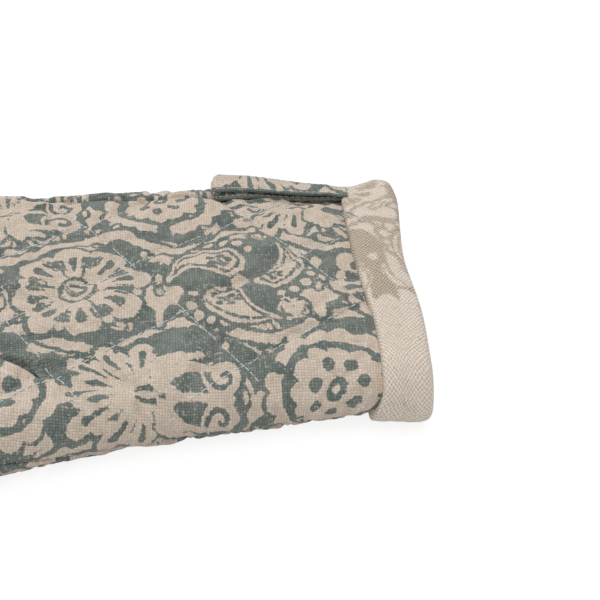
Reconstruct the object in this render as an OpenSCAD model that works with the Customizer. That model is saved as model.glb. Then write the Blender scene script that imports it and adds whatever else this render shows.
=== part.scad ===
// Quilted oven mitt, laid flat with its palm side up.
// The thumb points to -Y, the fingers to -X and the open cuff to +X. All sizes are in millimetres.
// Each side of the mitt is a sandwich of printed cover, wadding and lining, sewn to the other side
// round the rim. The layers are cut into hand, fingers and thumb where the padded mitt folds in use.

/* [Mitt] */
// Length from the fingertips to the end of the cuff
mitt_len = 320; // [300:1:340]
// Flat width across the cuff
cuff_w = 146; // [142:1:150]
// How far the far side widens from the cuff to the fingers
far_flare = 6; // [0:1:8]
// Thickness at the stitched rim, palm face to back face
rim_h = 23; // [22:1:25]
// Extra rise of the palm above the rim
crown_h = 5; // [3:0.5:6]
// Width of the rounded rim, seen from above
rim_round = 15; // [14:1:16]

/* [Thumb] */
// Radius of the thumb's round tip
thumb_r = 24; // [22:1:25]
// Straight inner edge of the thumb, from the crotch to its tip
thumb_reach = 42; // [38:1:46]
// Angle between the thumb's inner edge and the fingers
thumb_angle = 33; // [30:1:36]

/* [Layers] */
// Printed cotton cover
cover_t = 1; // [0.8:0.1:1.2]
// Heat-proof wadding
wadding_t = 4; // [3:0.5:4.5]
// Inner lining
lining_t = 0.8; // [0.6:0.1:1]

/* [Cuff band] */
// Width of the turned-over band
band_w = 24; // [20:1:28]
// Thickness of the folded band cloth
band_t = 1.5; // [1.2:0.1:1.8]
// How far the band swells between its edges
band_puff = 1.2; // [0.5:0.1:1.5]

/* [Hanging loop] */
// Length of the loop from the cuff band to its fold
loop_len = 54; // [46:1:62]
// Width of the folded strip
loop_w = 10.5; // [9:0.5:12]
// Thickness of the strip, four layers of cloth
strip_t = 1.6; // [1.2:0.1:1.8]
// Gap between the two legs of the loop
loop_gap = 0.8; // [0.6:0.1:1.2]

/* [Stitching] */
// Distance between the quilting lines that slant from the far side of the cuff to the thumb
quilt_gap = 59; // [50:1:64]
// Distance between the quilting lines that cross them
cross_gap = 39; // [34:1:44]
// Direction of the crossing lines; the others run at right angles to them
quilt_angle = 34; // [30:1:45]
// Width of a quilting thread
thread_w = 0.7; // [0.6:0.1:0.9]

/* [Hidden] */

linen = [0.81, 0.75, 0.69];
slate_print = [0.55, 0.57, 0.56];
thread_white = [0.87, 0.89, 0.89];
wadding_white = [0.94, 0.93, 0.9];
lining_cream = [0.88, 0.84, 0.77];

// Outline: the cuff, the thumb side, the crotch, the rounded fingertips and the far side
cuff_x = mitt_len / 2;
half_w = cuff_w / 2;
band_x = cuff_x - band_w;
layer_x = cuff_x - band_t;
mid_z = rim_h / 2;
crotch = [-38, -41];
crotch_r = 4.5;
tip_len = 60;
outer_angle = 20;
dome_x = tip_len - cuff_x;
thumb_dir = direction(180 + thumb_angle);
thumb_side = direction(thumb_angle - 90);
thumb_root = crotch + thumb_side * (crotch_r + thumb_r);
thumb_tip = thumb_root + thumb_dir * thumb_reach;
outer_side = direction(outer_angle - 90);
near_end = thumb_tip + outer_side * thumb_r;
near_run = band_x - near_end.x;
near_curve = [
    [band_x, -half_w],
    [band_x - 0.3 * near_run, -half_w],
    near_end + direction(outer_angle) * 0.35 * near_run,
    near_end
];
index_y = crotch.y + crotch_r;
far_y = half_w + far_flare;
dome_mid = [dome_x, (index_y + far_y) / 2];
dome_r = (far_y - index_y) / 2;

// Skeleton: the ridge line on which the palm is highest, each point with its rise over the rim.
// It runs from the cuff to the hand's middle, then forks to the thumb's tip and to the fingers.
cuff_steps = 2;
wrist_steps = 6;
ball_steps = 3;
thumb_steps = 5;
knuckle_steps = 2;
finger_steps = 4;
tip_steps = 10;
dome_steps = 16;
hand_mid = [-6, -8, crown_h];
ball_mid = [thumb_root.x, thumb_root.y, 0.7 * crown_h];
thumb_end = [thumb_tip.x, thumb_tip.y, 0.5 * crown_h];
wrist_mid = [band_x, 0, crown_h];
fingers_mid = [dome_mid.x, dome_mid.y, 0.8 * crown_h];
knuckle_mid = lerp(hand_mid, fingers_mid, 0.34);
skeleton = concat(
    [for (i = [0:cuff_steps - 1]) [lerp(layer_x, band_x, i / cuff_steps), 0, crown_h]],
    [wrist_mid],
    run(wrist_mid, hand_mid, wrist_steps),
    run(hand_mid, ball_mid, ball_steps),
    run(ball_mid, thumb_end, thumb_steps),
    run(hand_mid, knuckle_mid, knuckle_steps),
    run(knuckle_mid, fingers_mid, finger_steps)
);
wrist_i = cuff_steps;
hand_i = wrist_i + wrist_steps;
ball_i = hand_i + ball_steps;
thumb_i = ball_i + thumb_steps;
knuckle_i = thumb_i + knuckle_steps;
fingers_i = knuckle_i + finger_steps;

// Columns: [point on the outline, direction into the mitt, number of its skeleton point]
near_share = 0.62;
wrist_cols = [for (i = [1:wrist_steps]) near_col(near_share * i / wrist_steps, wrist_i + i)];
thumb_len = ball_steps + thumb_steps;
outer_cols = [for (i = [1:thumb_len]) near_col(lerp(near_share, 1, i / thumb_len), hand_i + i)];
tip_from = outer_angle - 90;
tip_to = thumb_angle - 270;
tip_cols = [for (i = [1:tip_steps])
    let (d = direction(lerp(tip_from, tip_to, i / tip_steps))) [thumb_tip + d * thumb_r, -d, thumb_i]];
inner_end = crotch + thumb_side * crotch_r;
inner_cols = [for (i = [1:thumb_steps])
    [lerp(inner_end + thumb_dir * thumb_reach, inner_end, i / thumb_steps), thumb_side, thumb_i - i]];
fork_steps = ball_steps + knuckle_steps;
crotch_cols = [for (i = [1:fork_steps])
    let (d = direction(lerp(thumb_angle - 90, 90, i / fork_steps)))
    [crotch + d * crotch_r, d, i <= ball_steps ? ball_i - i : thumb_i + i - ball_steps]];
index_cols = [for (i = [1:finger_steps])
    [[lerp(crotch.x, dome_x, i / finger_steps), index_y], [0, 1], knuckle_i + i]];
dome_cols = [for (i = [1:dome_steps])
    let (a = -90 - 180 * i / dome_steps)
    [dome_mid + [tip_len * cos(a), dome_r * sin(a)],
     -unit([dome_r * cos(a), tip_len * sin(a)]), fingers_i]];
back_steps = finger_steps + knuckle_steps;
far_steps = back_steps + wrist_steps;
far_share = 0.47;
far_cols = [for (i = [1:far_steps])
    let (t = i < back_steps ? far_share * i / back_steps
                            : lerp(far_share, 1, (i - back_steps) / wrist_steps))
    far_col(t, i < back_steps ? fingers_i - i : hand_i - i + back_steps)];
columns = concat(
    [for (i = [0:cuff_steps]) [[skeleton[i].x, -half_w], [0, 1], i]],
    wrist_cols, outer_cols, tip_cols, inner_cols, crotch_cols, index_cols, dome_cols, far_cols,
    [for (i = [1:cuff_steps]) [[skeleton[cuff_steps - i].x, half_w], [0, -1], cuff_steps - i]]
);

// The columns at which the fingers and the thumb start and end
first_thumb_col = cuff_steps + wrist_steps + ball_steps;
last_thumb_col = cuff_steps + wrist_steps + thumb_len + tip_steps + thumb_steps;
first_finger_col = last_thumb_col + fork_steps;
last_finger_col = first_finger_col + dome_steps + 2 * finger_steps;

// Rows: share of the rounded rim, then share of the way from the rim to the skeleton
rim_rows = [0, 0.08, 0.25, 0.5, 0.75, 1];
field_rows = [0.45];
rows = len(rim_rows) + len(field_rows);

// Sides of the mitt, and depths of its layers, measured in from the outside
palm_side = 1;
back_side = -1;
wadding_in = cover_t + wadding_t;
lining_in = wadding_in + lining_t;

// Fold lines: a joint is a round bearing face about its axis, so the layers stay close as it turns
joint_gap = 0.4;
knuckle_x = -62;
knuckle_z = 14.5;
knuckle_r = 16;
thumb_joint = thumb_root + thumb_dir * 18;
thumb_z = 13.3;
thumb_joint_r = 14.8;
thumb_inner_room = thumb_r + 3;
thumb_outer_room = thumb_r + 26;
reach = 200;

// Cuff band: [place along the mitt, depth, share of the swell] round its closed section
band_in = lining_in + 1.2;
band_nose = 0.4;
band_lift_run = 30;
band_section = [
    [band_x, 0, 0],
    [band_x, -band_t, 0],
    [band_x + 0.2 * band_w, -band_t, 0.75],
    [band_x + 0.5 * band_w, -band_t, 1],
    [band_x + 0.8 * band_w, -band_t, 0.7],
    [layer_x, -band_t, 0],
    [cuff_x - band_nose, -0.2 * band_t, 0],
    [cuff_x, lining_in / 2, 0],
    [cuff_x - band_nose, lining_in, 0],
    [layer_x, band_in, 0],
    [band_x + 2, band_in, 0],
    [band_x + 2, lining_in, 0],
    [layer_x, lining_in, 0],
    [layer_x, 0, 0]
];

// Hanging loop: a flat hairpin, closed at its root, which is round about the hinge
loop_t = 2 * strip_t + loop_gap;
loop_y = 59.5;
loop_clear = 0.8;
loop_x = band_x - joint_gap - loop_t / 2;
loop_z = top_height(half_w - loop_y + loop_w / 2) + loop_clear + loop_t / 2;
loop_root = 5;

// Stitches
quilt_stitch = 8;
quilt_pitch = 14;
quilt_proud = 0.35;
quilt_sunk = 0.25;
quilt_flat = 0.4;
quilt_rim = 9;
quilt_mid = [53, -7];
cross_mid = [59, 16];
quilt_fold = [8.5, 7.5];
quilt_fold_room = 5;
seam_stitch = 1.6;
seam_wire = 0.5;
seam_fold_room = 1.5;
small_stitch = 2.6;
small_pitch = 3.6;
loop_edge = 1.2;
ditch_gap = 0.14;

function direction(a) = [cos(a), sin(a)];
function unit(v) = v / norm(v);
function lerp(a, b, t) = a + (b - a) * t;
function run(a, b, n) = [for (i = [1:n]) lerp(a, b, i / n)];
function smooth(t) = let (s = min(max(t, 0), 1)) s * s * (3 - 2 * s);

// Point and direction of travel on a cubic curve
function curve(p, t) =
    pow(1 - t, 3) * p[0] + 3 * pow(1 - t, 2) * t * p[1] + 3 * (1 - t) * t * t * p[2] + pow(t, 3) * p[3];
function curve_dir(p, t) =
    unit(pow(1 - t, 2) * (p[1] - p[0]) + 2 * (1 - t) * t * (p[2] - p[1]) + t * t * (p[3] - p[2]));
function inward(d) = [d.y, -d.x];
function near_col(t, k) = [curve(near_curve, t), inward(curve_dir(near_curve, t)), k];
function far_point(t) = [lerp(dome_x, band_x, t), half_w + far_flare * (1 - smooth(t))];
function far_col(t, k) =
    [far_point(t), inward(unit(far_point(min(t + 0.01, 1.01)) - far_point(t - 0.01))), k];

// The underside rises by the band's thickness where the band wraps it, so the mitt lies flat
function lift(x) = band_t * smooth((x - band_x + band_lift_run) / (band_lift_run - 5));
function rim_bulge(s) = sqrt(max(0, 1 - pow(1 - s, 2)));

// A point of the layer surface at one depth: row j of the column that starts at the outline point
// edge, runs in along the direction way and ends at the ridge point spine, on one side of the mitt
function depth_point(edge, way, spine, j, depth, side) =
    let (rim_end = edge + way * rim_round,
         spine_xy = [spine.x, spine.y],
         len_all = rim_round + norm(spine_xy - rim_end),
         in_rim = j < len(rim_rows),
         d = in_rim ? depth + (rim_round - depth) * rim_rows[j]
                    : lerp(rim_round, len_all, j < rows ? field_rows[j - len(rim_rows)] : 1),
         p = in_rim ? edge + way * d : lerp(rim_end, spine_xy, (d - rim_round) / (len_all - rim_round)),
         bulge = in_rim ? rim_bulge(rim_rows[j]) : 1,
         rise = spine.z * (1 - pow(1 - (d - depth) / (len_all - depth), 2)))
    side == palm_side ? [p.x, p.y, mid_z + (mid_z - depth) * bulge + rise]
                      : [p.x, p.y, mid_z - (mid_z - depth - lift(p.x)) * bulge];
function layer_point(c, j, depth, side) = depth_point(c[0], c[1], skeleton[c[2]], j, depth, side);

// Height of the cover's palm face near the cuff, at a distance in from the far side
function top_height(d) =
    mid_z * (1 + rim_bulge(min(d / rim_round, 1))) + crown_h * (1 - pow(1 - d / half_w, 2));

// Numbers of a surface's points, and the triangles between two of its columns
n_cols = len(columns);
function spot(i, j) = j < rows ? i * rows + j : n_cols * rows + columns[i][2];
function quad(a, b, c, d) = concat(a == b || b == c ? [] : [[a, b, c]], c == d || d == a ? [] : [[a, c, d]]);
function skin_faces(from, to) = [
    for (i = [from:to - 1]) for (j = [0:rows - 1])
        each quad(spot(i, j), spot(i + 1, j), spot(i + 1, j + 1), spot(i, j + 1))
];
function skin_points(depth, side) = concat(
    [for (c = columns) for (j = [0:rows - 1]) layer_point(c, j, depth, side)],
    [for (k = [0:len(skeleton) - 1])
        let (c = [for (c = columns) if (c[2] == k) c][0]) layer_point(c, rows, depth, side)]
);
function flipped(faces) = [for (f = faces) [f[2], f[1], f[0]]];
function shifted(faces, n) = [for (f = faces) f + [n, n, n]];

// One cloth layer of one side, between two columns that end at the same ridge point:
// its outer and inner faces, the sewn edge and the edge at the cuff
module layer(outer, inner, side, from, to) {
    outside = skin_points(outer, side);
    n = len(outside);
    skin = skin_faces(from, to);
    sewn = [for (i = [from:to - 1])
        each quad(spot(i + 1, 0), spot(i, 0), spot(i, 0) + n, spot(i + 1, 0) + n)];
    ends = [for (j = [0:rows - 1]) each concat(
        quad(spot(from, j), spot(from, j + 1), spot(from, j + 1) + n, spot(from, j) + n),
        quad(spot(to, j + 1), spot(to, j), spot(to, j) + n, spot(to, j + 1) + n))];
    faces = concat(skin, shifted(flipped(skin), n), sewn, ends);
    points = concat(outside, skin_points(inner, side));
    polyhedron(points, side == palm_side ? faces : flipped(faces), 10);
}

// The space that belongs to the fingers: everything past the fold line, and the round bearing face
module fingers_zone(gap = 0) {
    room = far_y - crotch.y + 20;
    translate([knuckle_x - reach, crotch.y, -reach / 2]) cube([reach, room, reach]);
    translate([knuckle_x, crotch.y, knuckle_z]) rotate([-90, 0, 0])
        cylinder(h = room, r = knuckle_r + gap, $fn = 96);
}

// The same for the thumb, whose fold line crosses it squarely
module thumb_zone(gap = 0) {
    room = thumb_inner_room + thumb_outer_room;
    translate([thumb_joint.x, thumb_joint.y, 0]) rotate(180 + thumb_angle) {
        translate([0, -thumb_inner_room, -reach / 2]) cube([reach / 2, room, reach]);
        translate([0, -thumb_inner_room, thumb_z]) rotate([-90, 0, 0])
            cylinder(h = room, r = thumb_joint_r + gap, $fn = 96);
    }
}

// The part of a layer that belongs to one body
module layer_of(body, outer, inner, side) {
    if (body == "hand") difference() {
        layer(outer, inner, side, 0, n_cols - 1);
        fingers_zone(joint_gap);
        thumb_zone(joint_gap);
    }
    if (body == "fingers") intersection() {
        layer(outer, inner, side, first_finger_col, last_finger_col);
        fingers_zone();
    }
    if (body == "thumb") intersection() {
        layer(outer, inner, side, first_thumb_col, last_thumb_col);
        thumb_zone();
    }
}
module cover(body, side) color(slate_print) layer_of(body, 0, cover_t, side);
module wadding(body, side) color(wadding_white) layer_of(body, cover_t, wadding_in, side);
module lining(body, side) color(lining_cream) layer_of(body, wadding_in, lining_in, side);

// How far a point lies past each fold line, and the body that owns a stitch there. The bearing
// faces reach back over the fold line by the lengths in fold; none owns a stitch close to them.
function past_knuckle(p) = p.y > crotch.y ? knuckle_x - p.x : -reach;
function past_thumb(p) =
    let (from_joint = p - thumb_joint, across = from_joint * thumb_side)
    across > -thumb_inner_room && across < thumb_outer_room ? from_joint * thumb_dir : -reach;
function owner(p, fold, room) =
    past_knuckle(p) > room - fold[0] ? "fingers" :
    past_thumb(p) > room - fold[1] ? "thumb" :
    past_knuckle(p) < -room - fold[0] && past_thumb(p) < -room - fold[1] ? "hand" : "none";

// Distance of a point inside the outline; points outside it count as negative
function edge_gap(p, a, b) = norm(p - lerp(a, b, min(max((p - a) * (b - a) / ((b - a) * (b - a)), 0), 1)));
function inside_by(p) =
    let (gaps = [for (i = [0:n_cols - 2]) edge_gap(p, columns[i][0], columns[i + 1][0])],
         near = min(gaps),
         i = [for (i = [0:n_cols - 2]) if (gaps[i] == near) i][0])
    (p - columns[i][0]) * (columns[i][1] + columns[i + 1][1]) > 0 ? near : -near;

// Quilting stitches of one body as upright bars: [middle, direction]
function quilt_line(mid, angle) = [
    for (k = [-reach / quilt_pitch:reach / quilt_pitch])
        let (p = mid + direction(angle) * k * quilt_pitch)
        if (p.x < band_x - quilt_rim && inside_by(p) > quilt_rim) [p, angle]
];
function quilt_set(mid, angle, gap) = [
    for (k = [-4:5]) each quilt_line(mid + direction(angle + 90) * k * gap, angle)
];
quilt_places = concat(quilt_set(quilt_mid, quilt_angle - 90, quilt_gap),
                      quilt_set(cross_mid, quilt_angle, cross_gap));
module quilt_bars(body, side, height) for (q = quilt_places)
    if (owner(q[0], quilt_fold, quilt_fold_room) == body)
        translate([q[0].x, q[0].y, height / 2 + (side == palm_side ? mid_z : lift(q[0].x))])
            rotate(q[1]) cube([quilt_stitch, thread_w, height], center = true);
module palm_quilting(body) color(thread_white) intersection() {
    layer_of(body, -quilt_proud, quilt_sunk, palm_side);
    quilt_bars(body, palm_side, rim_h);
}
module back_quilting(body) color(thread_white) quilt_bars(body, back_side, quilt_flat);

// Seam stitches through both covers at the rim, one between each two columns
module seam_thread(body) color(thread_white) for (i = [0:n_cols - 2]) {
    way = unit(columns[i][1] + columns[i + 1][1]);
    p = (columns[i][0] + columns[i + 1][0]) / 2 + way * cover_t / 2;
    if (owner(p, [knuckle_r, thumb_joint_r], seam_fold_room) == body)
        translate([p.x, p.y, mid_z]) cylinder(h = seam_stitch, d = seam_wire, center = true, $fn = 8);
}

// A ring of points round the cuff at one place along the mitt and one depth. The swell fades
// out under the mitt, where the band lies flat.
ring_order = concat(
    [for (j = [0:rows]) [j, palm_side, -1]],
    [for (j = [rows - 1:-1:0]) [j, palm_side, 1]],
    [for (j = [1:rows]) [j, back_side, 1]],
    [for (j = [rows - 1:-1:1]) [j, back_side, -1]]
);
function swell_at(j, side) = side == palm_side ? 1 : j < len(rim_rows) ? 1 - rim_bulge(rim_rows[j]) : 0;
function cuff_ring(x, depth, swell = 0) = [
    for (r = ring_order)
        depth_point([x, r[2] * half_w], [0, -r[2]], [x, 0, crown_h], r[0],
                    depth - swell * band_puff * swell_at(r[0], r[1]), r[1])
];

// Binding turned over the raw edges of all six layers and sewn down inside
module cuff_band() color(linen) {
    n = len(ring_order);
    m = len(band_section);
    polyhedron(
        [for (q = band_section) each cuff_ring(q[0], q[1], q[2])],
        [for (i = [0:m - 1]) for (k = [0:n - 1])
            let (next = (i + 1) % m, after = (k + 1) % n)
            each quad(i * n + k, i * n + after, next * n + after, next * n + k)],
        10);
}

// One straight stitch between two points
module stitch(a, b) {
    way = b - a;
    translate(a) rotate([0, acos(way.z / norm(way)), atan2(way.y, way.x)])
        cylinder(h = norm(way), d = seam_wire, $fn = 8);
}

// Stitches in the ditch where the band meets the cover
module band_stitching() color(thread_white) {
    ring = cuff_ring(band_x - seam_wire / 2, -seam_wire / 4);
    n = len(ring);
    for (k = [0:n - 1]) {
        a = ring[k];
        b = ring[(k + 1) % n];
        count = max(1, round(norm(b - a) / small_pitch));
        for (i = [0:count - 1])
            stitch(lerp(a, b, (i + ditch_gap) / count), lerp(a, b, (i + 1 - ditch_gap) / count));
    }
}

module hanging_loop() color(slate_print)
    translate([loop_x, loop_y + loop_w / 2, loop_z]) rotate([90, 0, 0]) linear_extrude(loop_w)
        difference() {
            union() {
                translate([-loop_len, -loop_t / 2]) square([loop_len, loop_t]);
                circle(d = loop_t, $fn = 64);
                translate([-loop_len, 0]) circle(d = loop_t, $fn = 64);
            }
            translate([-loop_len, -loop_gap / 2]) square([loop_len - loop_root, loop_gap]);
            translate([-loop_len, 0]) circle(d = loop_gap, $fn = 32);
        }

// Two rows of stitches along each leg of the loop
module loop_stitching() color(thread_white)
    for (side = [-1, 1]) for (leg = [-1, 1]) for (x = [-loop_len:small_pitch:-small_pitch])
        translate([loop_x + x, loop_y + side * (loop_w / 2 - loop_edge), loop_z + leg * loop_t / 2])
            rotate([0, 90, 0]) cylinder(h = small_stitch, d = seam_wire, $fn = 8);

module palm_cover_hand() cover("hand", palm_side);
module palm_cover_fingers() cover("fingers", palm_side);
module palm_cover_thumb() cover("thumb", palm_side);
module palm_wadding_hand() wadding("hand", palm_side);
module palm_wadding_fingers() wadding("fingers", palm_side);
module palm_wadding_thumb() wadding("thumb", palm_side);
module palm_lining_hand() lining("hand", palm_side);
module palm_lining_fingers() lining("fingers", palm_side);
module palm_lining_thumb() lining("thumb", palm_side);
module back_cover_hand() cover("hand", back_side);
module back_cover_fingers() cover("fingers", back_side);
module back_cover_thumb() cover("thumb", back_side);
module back_wadding_hand() wadding("hand", back_side);
module back_wadding_fingers() wadding("fingers", back_side);
module back_wadding_thumb() wadding("thumb", back_side);
module back_lining_hand() lining("hand", back_side);
module back_lining_fingers() lining("fingers", back_side);
module back_lining_thumb() lining("thumb", back_side);
module palm_quilting_hand() palm_quilting("hand");
module palm_quilting_fingers() palm_quilting("fingers");
module palm_quilting_thumb() palm_quilting("thumb");
module back_quilting_hand() back_quilting("hand");
module back_quilting_fingers() back_quilting("fingers");
module back_quilting_thumb() back_quilting("thumb");
module seam_thread_hand() seam_thread("hand");
module seam_thread_fingers() seam_thread("fingers");
module seam_thread_thumb() seam_thread("thumb");

palm_cover_hand();
palm_cover_fingers();
palm_cover_thumb();
palm_wadding_hand();
palm_wadding_fingers();
palm_wadding_thumb();
palm_lining_hand();
palm_lining_fingers();
palm_lining_thumb();
back_cover_hand();
back_cover_fingers();
back_cover_thumb();
back_wadding_hand();
back_wadding_fingers();
back_wadding_thumb();
back_lining_hand();
back_lining_fingers();
back_lining_thumb();
palm_quilting_hand();
palm_quilting_fingers();
palm_quilting_thumb();
back_quilting_hand();
back_quilting_fingers();
back_quilting_thumb();
seam_thread_hand();
seam_thread_fingers();
seam_thread_thumb();
cuff_band();
band_stitching();
hanging_loop();
loop_stitching();
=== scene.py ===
# %% [markdown]
# # A quilted oven mitt
# An oven mitt is a padded bag for a hand. Printed cloth is on the outside, thick wadding lies
# under it, and a plain lining is next to the hand. Lines of stitches hold the three together,
# and a strip of cloth is bound round the raw edges of the cuff.
# The mitt could be sculpted by hand, or wrapped in a picture of cloth. Here each layer is worked
# out as a surface from a few dimensions, because then cover, wadding, lining, band and stitches
# share one shape and stay in contact when the shape changes.

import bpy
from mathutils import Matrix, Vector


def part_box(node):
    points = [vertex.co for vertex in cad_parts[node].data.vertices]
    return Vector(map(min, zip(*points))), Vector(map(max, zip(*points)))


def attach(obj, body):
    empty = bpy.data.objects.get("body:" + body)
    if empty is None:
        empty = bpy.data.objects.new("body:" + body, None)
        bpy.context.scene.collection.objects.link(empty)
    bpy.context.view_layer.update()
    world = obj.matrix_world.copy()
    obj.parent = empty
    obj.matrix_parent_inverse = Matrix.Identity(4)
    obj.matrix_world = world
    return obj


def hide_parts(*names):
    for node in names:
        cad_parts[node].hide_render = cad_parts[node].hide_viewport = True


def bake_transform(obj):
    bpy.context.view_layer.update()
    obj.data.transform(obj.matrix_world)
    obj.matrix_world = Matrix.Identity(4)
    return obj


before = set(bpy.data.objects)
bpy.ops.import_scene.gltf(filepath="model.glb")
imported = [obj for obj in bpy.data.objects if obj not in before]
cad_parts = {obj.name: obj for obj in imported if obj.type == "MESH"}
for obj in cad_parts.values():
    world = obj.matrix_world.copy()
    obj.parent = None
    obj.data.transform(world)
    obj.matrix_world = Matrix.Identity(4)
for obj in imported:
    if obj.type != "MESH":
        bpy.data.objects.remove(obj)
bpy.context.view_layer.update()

# %% Tools from Blender, Python and numpy
import math

import bmesh
import bpy
import numpy as np
from mathutils import Matrix, Vector
from mathutils.bvhtree import BVHTree

MM = 0.001
print("one millimetre is", MM, "in the scene's unit")

# %% [markdown]
# ## The pattern of the mitt
# A sewing pattern is an outline and a few allowances. These are the mitt's own, in millimetres:
# the thumb points to -Y, the fingers to -X and the open cuff to +X, and it lies on z = 0.
# One outline serves every layer, and a layer is told apart only by its depth under the cover.

# %% Dimensions of the mitt
mitt_len = 320
cuff_w = 146
far_flare = 6
rim_h = 23
crown_h = 5
rim_round = 15
thumb_r = 24
thumb_reach = 42
thumb_angle = 33
cover_t = 1
wadding_t = 4
lining_t = 0.8
band_w = 24
band_t = 1.5
band_puff = 1.2
quilt_gap = 59
cross_gap = 39
quilt_angle = 34

cuff_x = mitt_len / 2
half_w = cuff_w / 2
band_x = cuff_x - band_w
layer_x = cuff_x - band_t
mid_z = rim_h / 2
wadding_in = cover_t + wadding_t
lining_in = wadding_in + lining_t
cad_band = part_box("cuff_band")
print(f"band starts at {band_x:.1f} mm, and the solid band at {cad_band[0].x / MM:.1f} mm")


# %% Small helpers for plane geometry
def direction(degrees):
    """Unit vectors that point at these angles."""
    a = np.radians(degrees)
    return np.stack([np.cos(a), np.sin(a)], -1)


def lerp(a, b, t):
    """The point a share t of the way from a to b."""
    return a + (b - a) * t


def smooth(t):
    """An S-shaped step from 0 to 1, flat at both ends: 3t^2 - 2t^3."""
    s = np.clip(t, 0, 1)
    return s * s * (3 - 2 * s)


def ramp(x, start, run):
    """The S-shaped step laid over x: 0 up to start, and 1 from a run further on."""
    return smooth((x - start) / run)


def bell(x, width):
    """A bell curve, 1 at x = 0 and about a third at x = width."""
    return np.exp(-((x / width) ** 2))


def bells(x, shapes):
    """Bell curves added up, each given as its middle, its width and its height."""
    return sum(height * bell(x - middle, width) for middle, width, height in shapes)


def unit(v):
    """Vectors of length 1 in the directions of v."""
    return v / np.linalg.norm(v, axis=-1, keepdims=True)


def run_lengths(path):
    """How far along a path of points each of them lies: its steps added up."""
    return np.concatenate([[0], np.cumsum(np.linalg.norm(np.diff(path, axis=0), axis=1))])


def point_at(path, run):
    """The points that lie these distances along a path."""
    far = run_lengths(path)
    return np.stack([np.interp(run, far, path[:, axis]) for axis in range(3)], -1)


print(f"halfway up a ramp from 2 to 6: {ramp(4, 2, 4):.1f}")

# %% Corners of the outline
crotch = np.array([-38.0, -41.0])
crotch_r = 4.5
tip_len = 60
outer_angle = 20
dome_x = tip_len - cuff_x
thumb_dir = direction(180 + thumb_angle)
thumb_side = direction(thumb_angle - 90)
thumb_root = crotch + thumb_side * (crotch_r + thumb_r)
thumb_tip = thumb_root + thumb_dir * thumb_reach
inner_end = crotch + thumb_side * crotch_r
near_end = thumb_tip + direction(outer_angle - 90) * thumb_r
near_run = band_x - near_end[0]
cuff_pull, thumb_pull = 0.3, 0.35
near_curve = np.array([
    [band_x, -half_w],
    [band_x - cuff_pull * near_run, -half_w],
    near_end + direction(outer_angle) * thumb_pull * near_run,
    near_end,
])
index_y = crotch[1] + crotch_r
far_y = half_w + far_flare
dome_mid = np.array([dome_x, (index_y + far_y) / 2])
dome_r = (far_y - index_y) / 2
print(f"across the fingers the outline is {2 * dome_r:.0f} mm wide")


# %% Stretches of the outline, each from its start (t = 0) to its end (t = 1)
def straight(a, b, way):
    """A straight stretch from a to b, with the mitt lying in the direction way."""
    return lambda t: (lerp(np.array(a), np.array(b), t[:, None]), np.tile(way, (len(t), 1)))


def near_side(start, end):
    """Part of the thumb side: a cubic curve from the cuff to the outer side of the thumb's tip."""
    def stretch(t):
        s = lerp(start, end, t)[:, None]
        p, r = near_curve, 1 - s
        edge = r**3 * p[0] + 3 * r**2 * s * p[1] + 3 * r * s**2 * p[2] + s**3 * p[3]
        way = r**2 * (p[1] - p[0]) + 2 * r * s * (p[2] - p[1]) + s**2 * (p[3] - p[2])
        return edge, unit(way[:, ::-1] * [1, -1])
    return stretch


def far_side(start, end):
    """Part of the far side, which widens from the cuff to the fingers by an S-shaped step."""
    def place(t):
        return np.stack([lerp(dome_x, band_x, t), half_w + far_flare * (1 - smooth(t))], -1)

    def stretch(t):
        s = lerp(start, end, t)
        slope = place(s + 0.01) - place(s - 0.01)
        return place(s), unit(slope[:, ::-1] * [1, -1])
    return stretch


def tip_arc(t):
    """The thumb's round tip."""
    d = direction(lerp(outer_angle - 90, thumb_angle - 270, t))
    return thumb_tip + d * thumb_r, -d


def crotch_arc(start, end):
    """Part of the small hollow arc between thumb and fingers."""
    def stretch(t):
        d = direction(lerp(thumb_angle - 90, 90, lerp(start, end, t)))
        return crotch + d * crotch_r, d
    return stretch


def finger_dome(t):
    """The rounded fingertips, half of an ellipse."""
    d = direction(-90 - 180 * t)
    return dome_mid + d * [tip_len, dome_r], -unit(d * [dome_r, tip_len])


print(f"the fingertips reach to x = {finger_dome(np.array([0.5]))[0][0, 0]:.0f} mm")

# %% [markdown]
# A padded mitt is highest along a ridge: from the cuff to the middle of the hand, and from there
# to the thumb's tip and to the fingers. Each point of the outline is joined to a point of that
# ridge, and the cloth is drawn along those joins. The counts are the same on both sides of the
# ridge, so the two halves meet point to point with no gap.

# %% The ridge, and which stretch of outline is joined to which stretch of ridge
cuff_mid = np.array([layer_x, 0, crown_h])
wrist_mid = np.array([band_x, 0, crown_h])
hand_mid = np.array([-6, -8, crown_h])
ball_mid = np.array([*thumb_root, 0.7 * crown_h])
thumb_end = np.array([*thumb_tip, 0.5 * crown_h])
fingers_mid = np.array([*dome_mid, 0.8 * crown_h])
knuckle_mid = lerp(hand_mid, fingers_mid, 0.34)
near_share = 0.62
ball_share = lerp(near_share, 1, 3 / 8)
far_share = 0.47
knuckle_share = far_share * 4 / 6

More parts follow.
